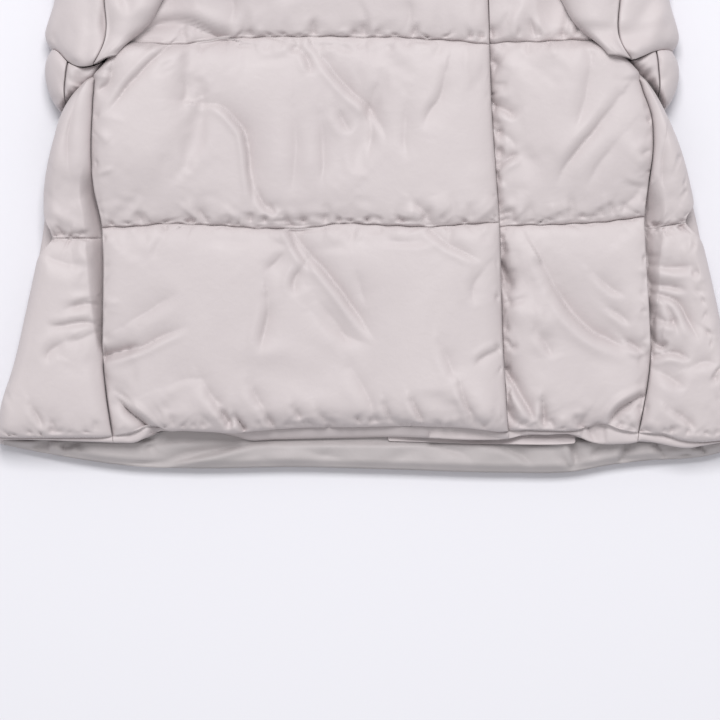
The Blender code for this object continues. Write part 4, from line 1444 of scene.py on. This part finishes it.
def tubeStations(legs, steps):
    # Stations round a sleeve, from seam to seam over its inner and outer edges
    folds = ("inner", "outer")
    stations = []
    for start, end, face in legs:
        shares = []
        for i in range(steps + 1):
            share = i / steps
            if start in folds and end in folds:
                share = (1 - math.cos(math.pi * share)) / 2
            elif end in folds:
                share = math.sin(math.pi / 2 * share)
            else:
                share = 1 - math.cos(math.pi / 2 * share)
            shares.append(share)
        if start == "seam":
            shares[1:1] = [0.014, 0.04]
        if end == "seam":
            shares[-1:-1] = [0.96, 0.986]
        for share in shares[1 if stations else 0 :]:
            atFold = (share == 0 and start in folds) or (share == 1 and end in folds)
            stations.append((start, end, share, 0 if atFold else face))
    return stations


# How the seam between sleeve and cuff sags across the sleeve
seamSag = {
    right: table("reach sag", (205, 0), (225, -3.5), (239, -10), (251, -11), (260, -6.5), (272, 5), (283, 7)),
    left: table("reach sag", (205, 0), (234, -3.5), (240, -5), (250, -1), (260, 3.5), (270, 5), (283, 4)),
}


def seamDrop(side, reach, v):
    # Strongest at the seam, gone halfway up the sleeve's first cell and at the cuff's end
    seam = sleeveLines[0]
    near = np.where(v > seam - gap, 1 - ramp(v, seam, 400), ramp(v, cuffEnd, seam))
    return follow(seamSag[side], "sag", reach, "reach") * near


def tubePiece(name, side, rows, faces, legs, along, settings):
    # A sleeve's piece or a cuff: a sheet round the arm, its seams sunk, with the wall's inner side closed
    stations = tubeStations(legs, settings["steps"])
    mesh, column, row = gridMesh(name, stations, along)

    def line(which, other, v):
        place = follow(rows, which, v)
        return place + (gap * np.sign(follow(rows, other, v) - place) if which == "seam" else 0)

    v = along[row]
    begin, finish, share, face = (np.empty(len(column)) for _ in range(4))
    for index, (start, end, part, turnedTo) in enumerate(stations):
        here = column == index
        begin[here], finish[here] = line(start, end, v[here]), line(end, start, v[here])
        share[here], face[here] = part, turnedTo
    reach = begin + (finish - begin) * share
    low, high, middle = faces(side, rows, reach, v)
    z = np.where(face > 0, high, np.where(face < 0, low, middle))
    upper = face > 0
    fromLine = lineDistance(v, settings["lines"])
    soft = roundRise(fromLine, 20) * ramp(np.abs(finish - reach), 0, 14)
    sharp = creases(side * reach, v, settings["creases"])[0] * ramp(np.abs(finish - reach), 0, 3)
    sunkLine, sunkSeam = settings["sink"]
    drawnIn = sunkLine * (fromLine < 0.01) + sunkSeam * ((share < 0.001) | (share > 0.999))
    z = z + upper * (ridges(side * reach, v, settings["folds"]) * soft + settings["crisp"] * sharp - drawnIn)
    outer = toFrame(side * reach, v + seamDrop(side, reach, v), z)
    innerEdge, outerEdge = follow(rows, "inner", v), follow(rows, "outer", v)
    centre, half = (innerEdge + outerEdge) / 2, (outerEdge - innerEdge) / 2
    off = np.abs(reach - centre) / half
    drawn = centre + (reach - centre) * (1 - np.minimum(settings["wall"] / half, 0.4) * off**3)
    innerZ = faces(side, rows, drawn, v)[2] + face * gap
    inner = toFrame(side * drawn, v + seamDrop(side, drawn, v), innerZ)
    setPoints(mesh, outer)
    faceUp(mesh, upper)
    edge = (column == 0) | (column == len(stations) - 1) | (row == 0) | (row == len(along) - 1)
    held = edge | (face < 0) | (fromLine < 0.01)
    moved = inflate(mesh, held, settings["cap"])
    piece = closePad(name, mesh, moved, inner, settings["material"], column, row, settings["padStep"])
    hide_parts(settings["node"])
    print(name, "made:", len(piece.data.vertices), "points")
    return piece


measureBody(bodyPieces)

outerPiece = (("seam", "outer", 1), ("outer", "seam", -1))
innerPiece = (("seam", "inner", -1), ("inner", "seam", 1))
wholeCuff = (("seam", "outer", 1), ("outer", "inner", -1), ("inner", "seam", 1))
sleeveCreases = {
    right: [
        ([(-229, 384), (-229, 366), (-226, 350)], 4, 1.1, 5, 0.3),
        ([(-218, 347), (-226, 362), (-240, 384), (-252, 400)], 1.8, 3, 8, 0.9),
        ([(-240, 352), (-238, 366), (-245, 384)], 1.6, 2, 6, 0.9),
        ([(-258, 344), (-254, 356), (-260, 372)], 1.3, 2, 6, 0.9),
        ([(-213, 390), (-208, 380), (-205, 371)], 4, 1.5, 7, 0.8),
        ([(-281, 350), (-272, 346), (-264, 348)], 2.4, 1.4, 5, 0.9),
    ],
    left: [
        ([(230, 350), (238, 362), (252, 376), (262, 396)], 2, 3, 9, 0.9),
        ([(214, 372), (224, 384), (236, 400)], 1.8, 2, 7, 0.5),
        ([(245, 357), (229, 345), (222, 342)], 1.6, 3, 8, 0.4),
        ([(252, 342), (256, 356), (266, 372)], 1.4, 2, 7, 0.9),
        ([(218, 358), (222, 366), (220, 376)], 1.8, 1.4, 5, 0.6),
    ],
}
cuffCreases = {
    right: [
        ([(-249, 330), (-250, 320), (-249, 312)], 6, 1.2, 4, 1),
        ([(-260, 322), (-255, 317), (-252, 315)], 2.6, 1, 3, 0.6),
        ([(-278, 297.5), (-266, 297), (-254, 297)], 1.6, 0.9, 2, 0.9),
        ([(-263, 310), (-259, 306), (-254, 308)], 1.2, 1, 3, 0.7),
    ],
    left: [
        ([(261, 318), (256, 322), (250, 318)], 1.6, 1.4, 5, 0.8),
        ([(262, 306), (257, 309), (252, 306)], 1.6, 1.2, 5, 0.8),
        ([(262, 328), (258, 330), (252, 333)], 1.6, 1, 4, 0.8),
        ([(263, 312), (268, 314), (272, 312)], 1.4, 1, 4, 0.8),
    ],
}


def makeSleeve(side):
    along = cellRows(sleeveLines, (sleeve["step"],) * 3)
    along[0] += gap
    low, high = inOrder(side, 160, 290)
    folds = softFolds(random, (low, 345, high, 800), 46, (25, 80), 1.8, (6, 12))
    sharp = list(sleeveCreases[side])
    for line in sleeveLines[:3]:
        for way in (1, -1) if line > sleeveLines[0] else (1,):
            beside = line + way
            folds += puckers(random, (side * 180, line), (side * 285, line), (0, way), 12, (10, 45), (1, 3))
            ends = (side * 160, beside), (side * 285, beside)
            sharp += gathers(random, *ends, (0, way), 12, (4, 20), (0.8, 2))
    for part, legs in (("Outer", outerPiece), ("Inner", innerPiece)):
        settings = dict(sleeve, folds=folds, creases=sharp, node=f"sleeve_{sideNames[side]}_{part.lower()}")
        tubePiece(f"{sideNames[side]}Sleeve{part}", side, sleeveShape, sleeveFaces, legs, along, settings)
    cuffRows = cuffEnd + spread(sleeveLines[0] - gap - cuffEnd, cuff["step"], (0.8, 2, 4))
    low, high = inOrder(side, 200, 280)
    settings = dict(
        cuff,
        folds=softFolds(random, (low, 288, high, 334), 12, (12, 30), 1.2, (3, 6)),
        creases=cuffCreases[side],
        node="cuff_" + sideNames[side],
    )
    tubePiece(f"{sideNames[side]}Cuff", side, cuffShape, cuffFaces, wholeCuff, cuffRows, settings)


for side in (right, left):
    makeSleeve(side)

collar = dict(fill=0.5, columns=34, lapColumns=12, bends=8, lapRise=1.2, edgeRound=14, folds=40, lowest=0.05)


def makeCollar():
    half = collarThick / 2
    low = half + gap
    high = backThick + layerGap + half
    lap = collarThick + collar["lapRise"]
    radius = (high - low) / 2
    start = float(placketEdge(shoulderRow))
    fold = neckHalfWidth
    bends = [math.pi * i / collar["bends"] for i in range(1, collar["bends"])]
    bends = [(math.sin(angle), math.cos(angle)) for angle in bends]
    # The middle of the collar, from the right front's edge round the neck to the left one's: place,
    # height, and the way that its outer face looks
    route = [
        (x, high + lap * float(ramp(x, -30, start - underlap)), 0, 1)
        for x in np.linspace(start, -fold, collar["columns"])
    ]
    route += [(-fold - radius * out, low + radius + radius * up, -out, up) for out, up in bends]
    firstBack = len(route)
    route += [(x, low, 0, -1) for x in np.linspace(-fold, fold, collar["columns"])]
    afterBack = len(route)
    route += [(fold + radius * out, low + radius - radius * up, out, -up) for out, up in bends]
    route += [(x, high, 0, 1) for x in np.linspace(fold, start - underlap, collar["lapColumns"])]
    route = np.array(route)
    rows = spread(1, 0.12, (0.02, 0.06, 0.12))
    mesh, column, row = gridMesh("collar", route, rows)
    middle, v = route[column], rows[row]
    onBack = (column >= firstBack) & (column < afterBack)
    folds = softFolds(random, (0, 0, len(route), collarHeight), collar["folds"], (6, 24), 0.9, (2.5, 6))

    def face(side):
        reach = middle[:, 0] + side * middle[:, 2] * half
        foot = np.where(onBack, neckline(reach, backNeckDrop), neckline(reach, frontNeckDrop)) + collarGap
        up, edgeRound = v * collarHeight, collar["edgeRound"]
        swell = roundRise(up, edgeRound) * roundRise(collarHeight - up, edgeRound)
        creased = np.clip(ridges(column, up, folds), -1.5, 1) * swell * (side > 0)
        thick = half * (0.45 + 0.55 * swell) + creased
        z = np.maximum(middle[:, 1] + side * middle[:, 3] * thick, collar["lowest"])
        return toFrame(middle[:, 0] + side * middle[:, 2] * thick, foot + up, z)

    piece = closePad("standCollar", mesh, face(1), face(-1), shellCloth, column, row, 1)
    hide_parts("collar")
    print("standCollar made")


makeCollar()

stitch = dict(
    quilt=dict(pitch=3.4, long=1.9, thick=0.5, lift=0.35),
    hem=dict(pitch=3.2, long=1.8, thick=0.6, lift=0.4),
)


def sewLines(name, kind):
    # Small rounded threads, one after the other along each stitched line
    size = stitch[kind]
    half = size["thick"] * mm / 2
    shape = Matrix.Diagonal((size["long"] * mm / 2, half, half, 1))
    whole = bmesh.new()
    for path, use in stitchPaths:
        if use != kind:
            continue
        far = np.append(0, np.cumsum(np.linalg.norm(np.diff(path, axis=0), axis=1)))
        bm = bmesh.new()
        for place in np.arange(2, far[-1] / mm - 2, size["pitch"]) * mm:
            middle = [np.interp(place, far, path[:, i]) for i in range(3)]
            ahead = [np.interp(place + mm, far, path[:, i]) for i in range(3)]
            turn = (Vector(ahead) - Vector(middle)).to_track_quat("X", "Z").to_matrix().to_4x4()
            at = Matrix.Translation(Vector(middle) + Vector((0, 0, size["lift"] * mm)))
            bmesh.ops.create_uvsphere(bm, u_segments=6, v_segments=4, radius=1, matrix=at @ turn @ shape)
        line = bpy.data.meshes.new("line")
        bm.to_mesh(line)
        bm.free()
        whole.from_mesh(line)
        bpy.data.meshes.remove(line)
    mesh = bpy.data.meshes.new(name)
    whole.to_mesh(mesh)
    whole.free()
    piece = addPiece(name, mesh, threadCloth, 0)
    print(name, "made:", len(mesh.polygons), "faces")


sewLines("quiltStitches", "quilt")
sewLines("hemStitches", "hem")

scene = bpy.context.scene
view = dict(frameSize=0.64, middle=(-0.0048, -0.380), clothHeight=0.03, lens=180, sensor=36)

floorLook = dict(size=6, colour=(0.79, 0.782, 0.825), roughness=0.9, gloss=0.1)


def makeFloor():
    bm = bmesh.new()
    bmesh.ops.create_grid(bm, x_segments=4, y_segments=4, size=floorLook["size"])
    mesh = bpy.data.meshes.new("floor")
    bm.to_mesh(mesh)
    bm.free()
    floor = bpy.data.objects.new("floor", mesh)
    scene.collection.objects.link(floor)
    material = bpy.data.materials.new("paleFloor")
    material.use_nodes = True
    shader = material.node_tree.nodes["Principled BSDF"]
    shader.inputs["Base Color"].default_value = (*floorLook["colour"], 1)
    shader.inputs["Roughness"].default_value = floorLook["roughness"]
    shader.inputs["Specular IOR Level"].default_value = floorLook["gloss"]
    mesh.materials.append(material)


studio = dict(
    place=(0, 1.6, 3.6), target=(0, -0.3, 0), size=1.6, power=116, sky=(0.98, 0.985, 1), skyStrength=0.59
)


def makeLight():
    light = bpy.data.lights.new("softKey", "AREA")
    light.shape = "SQUARE"
    light.size, light.energy = studio["size"], studio["power"]
    lamp = bpy.data.objects.new("softKey", light)
    lamp.location = studio["place"]
    way = Vector(studio["target"]) - Vector(studio["place"])
    lamp.rotation_euler = way.to_track_quat("-Z", "Y").to_euler()
    scene.collection.objects.link(lamp)
    scene.world = bpy.data.worlds.new("studio")
    scene.world.use_nodes = True
    sky = scene.world.node_tree.nodes["Background"].inputs
    sky["Color"].default_value = (*studio["sky"], 1)
    sky["Strength"].default_value = studio["skyStrength"]


makeFloor()
makeLight()
scene.view_settings.view_transform = "Standard"

camera = bpy.data.cameras.new("camera")
camera.lens, camera.sensor_width = view["lens"], view["sensor"]
camera.clip_end = 50
eye = bpy.data.objects.new("camera", camera)
scene.collection.objects.link(eye)
distance = view["frameSize"] * view["lens"] / view["sensor"]
eye.location = (*view["middle"], view["clothHeight"] + distance)
scene.camera = eye
print("camera and light set")
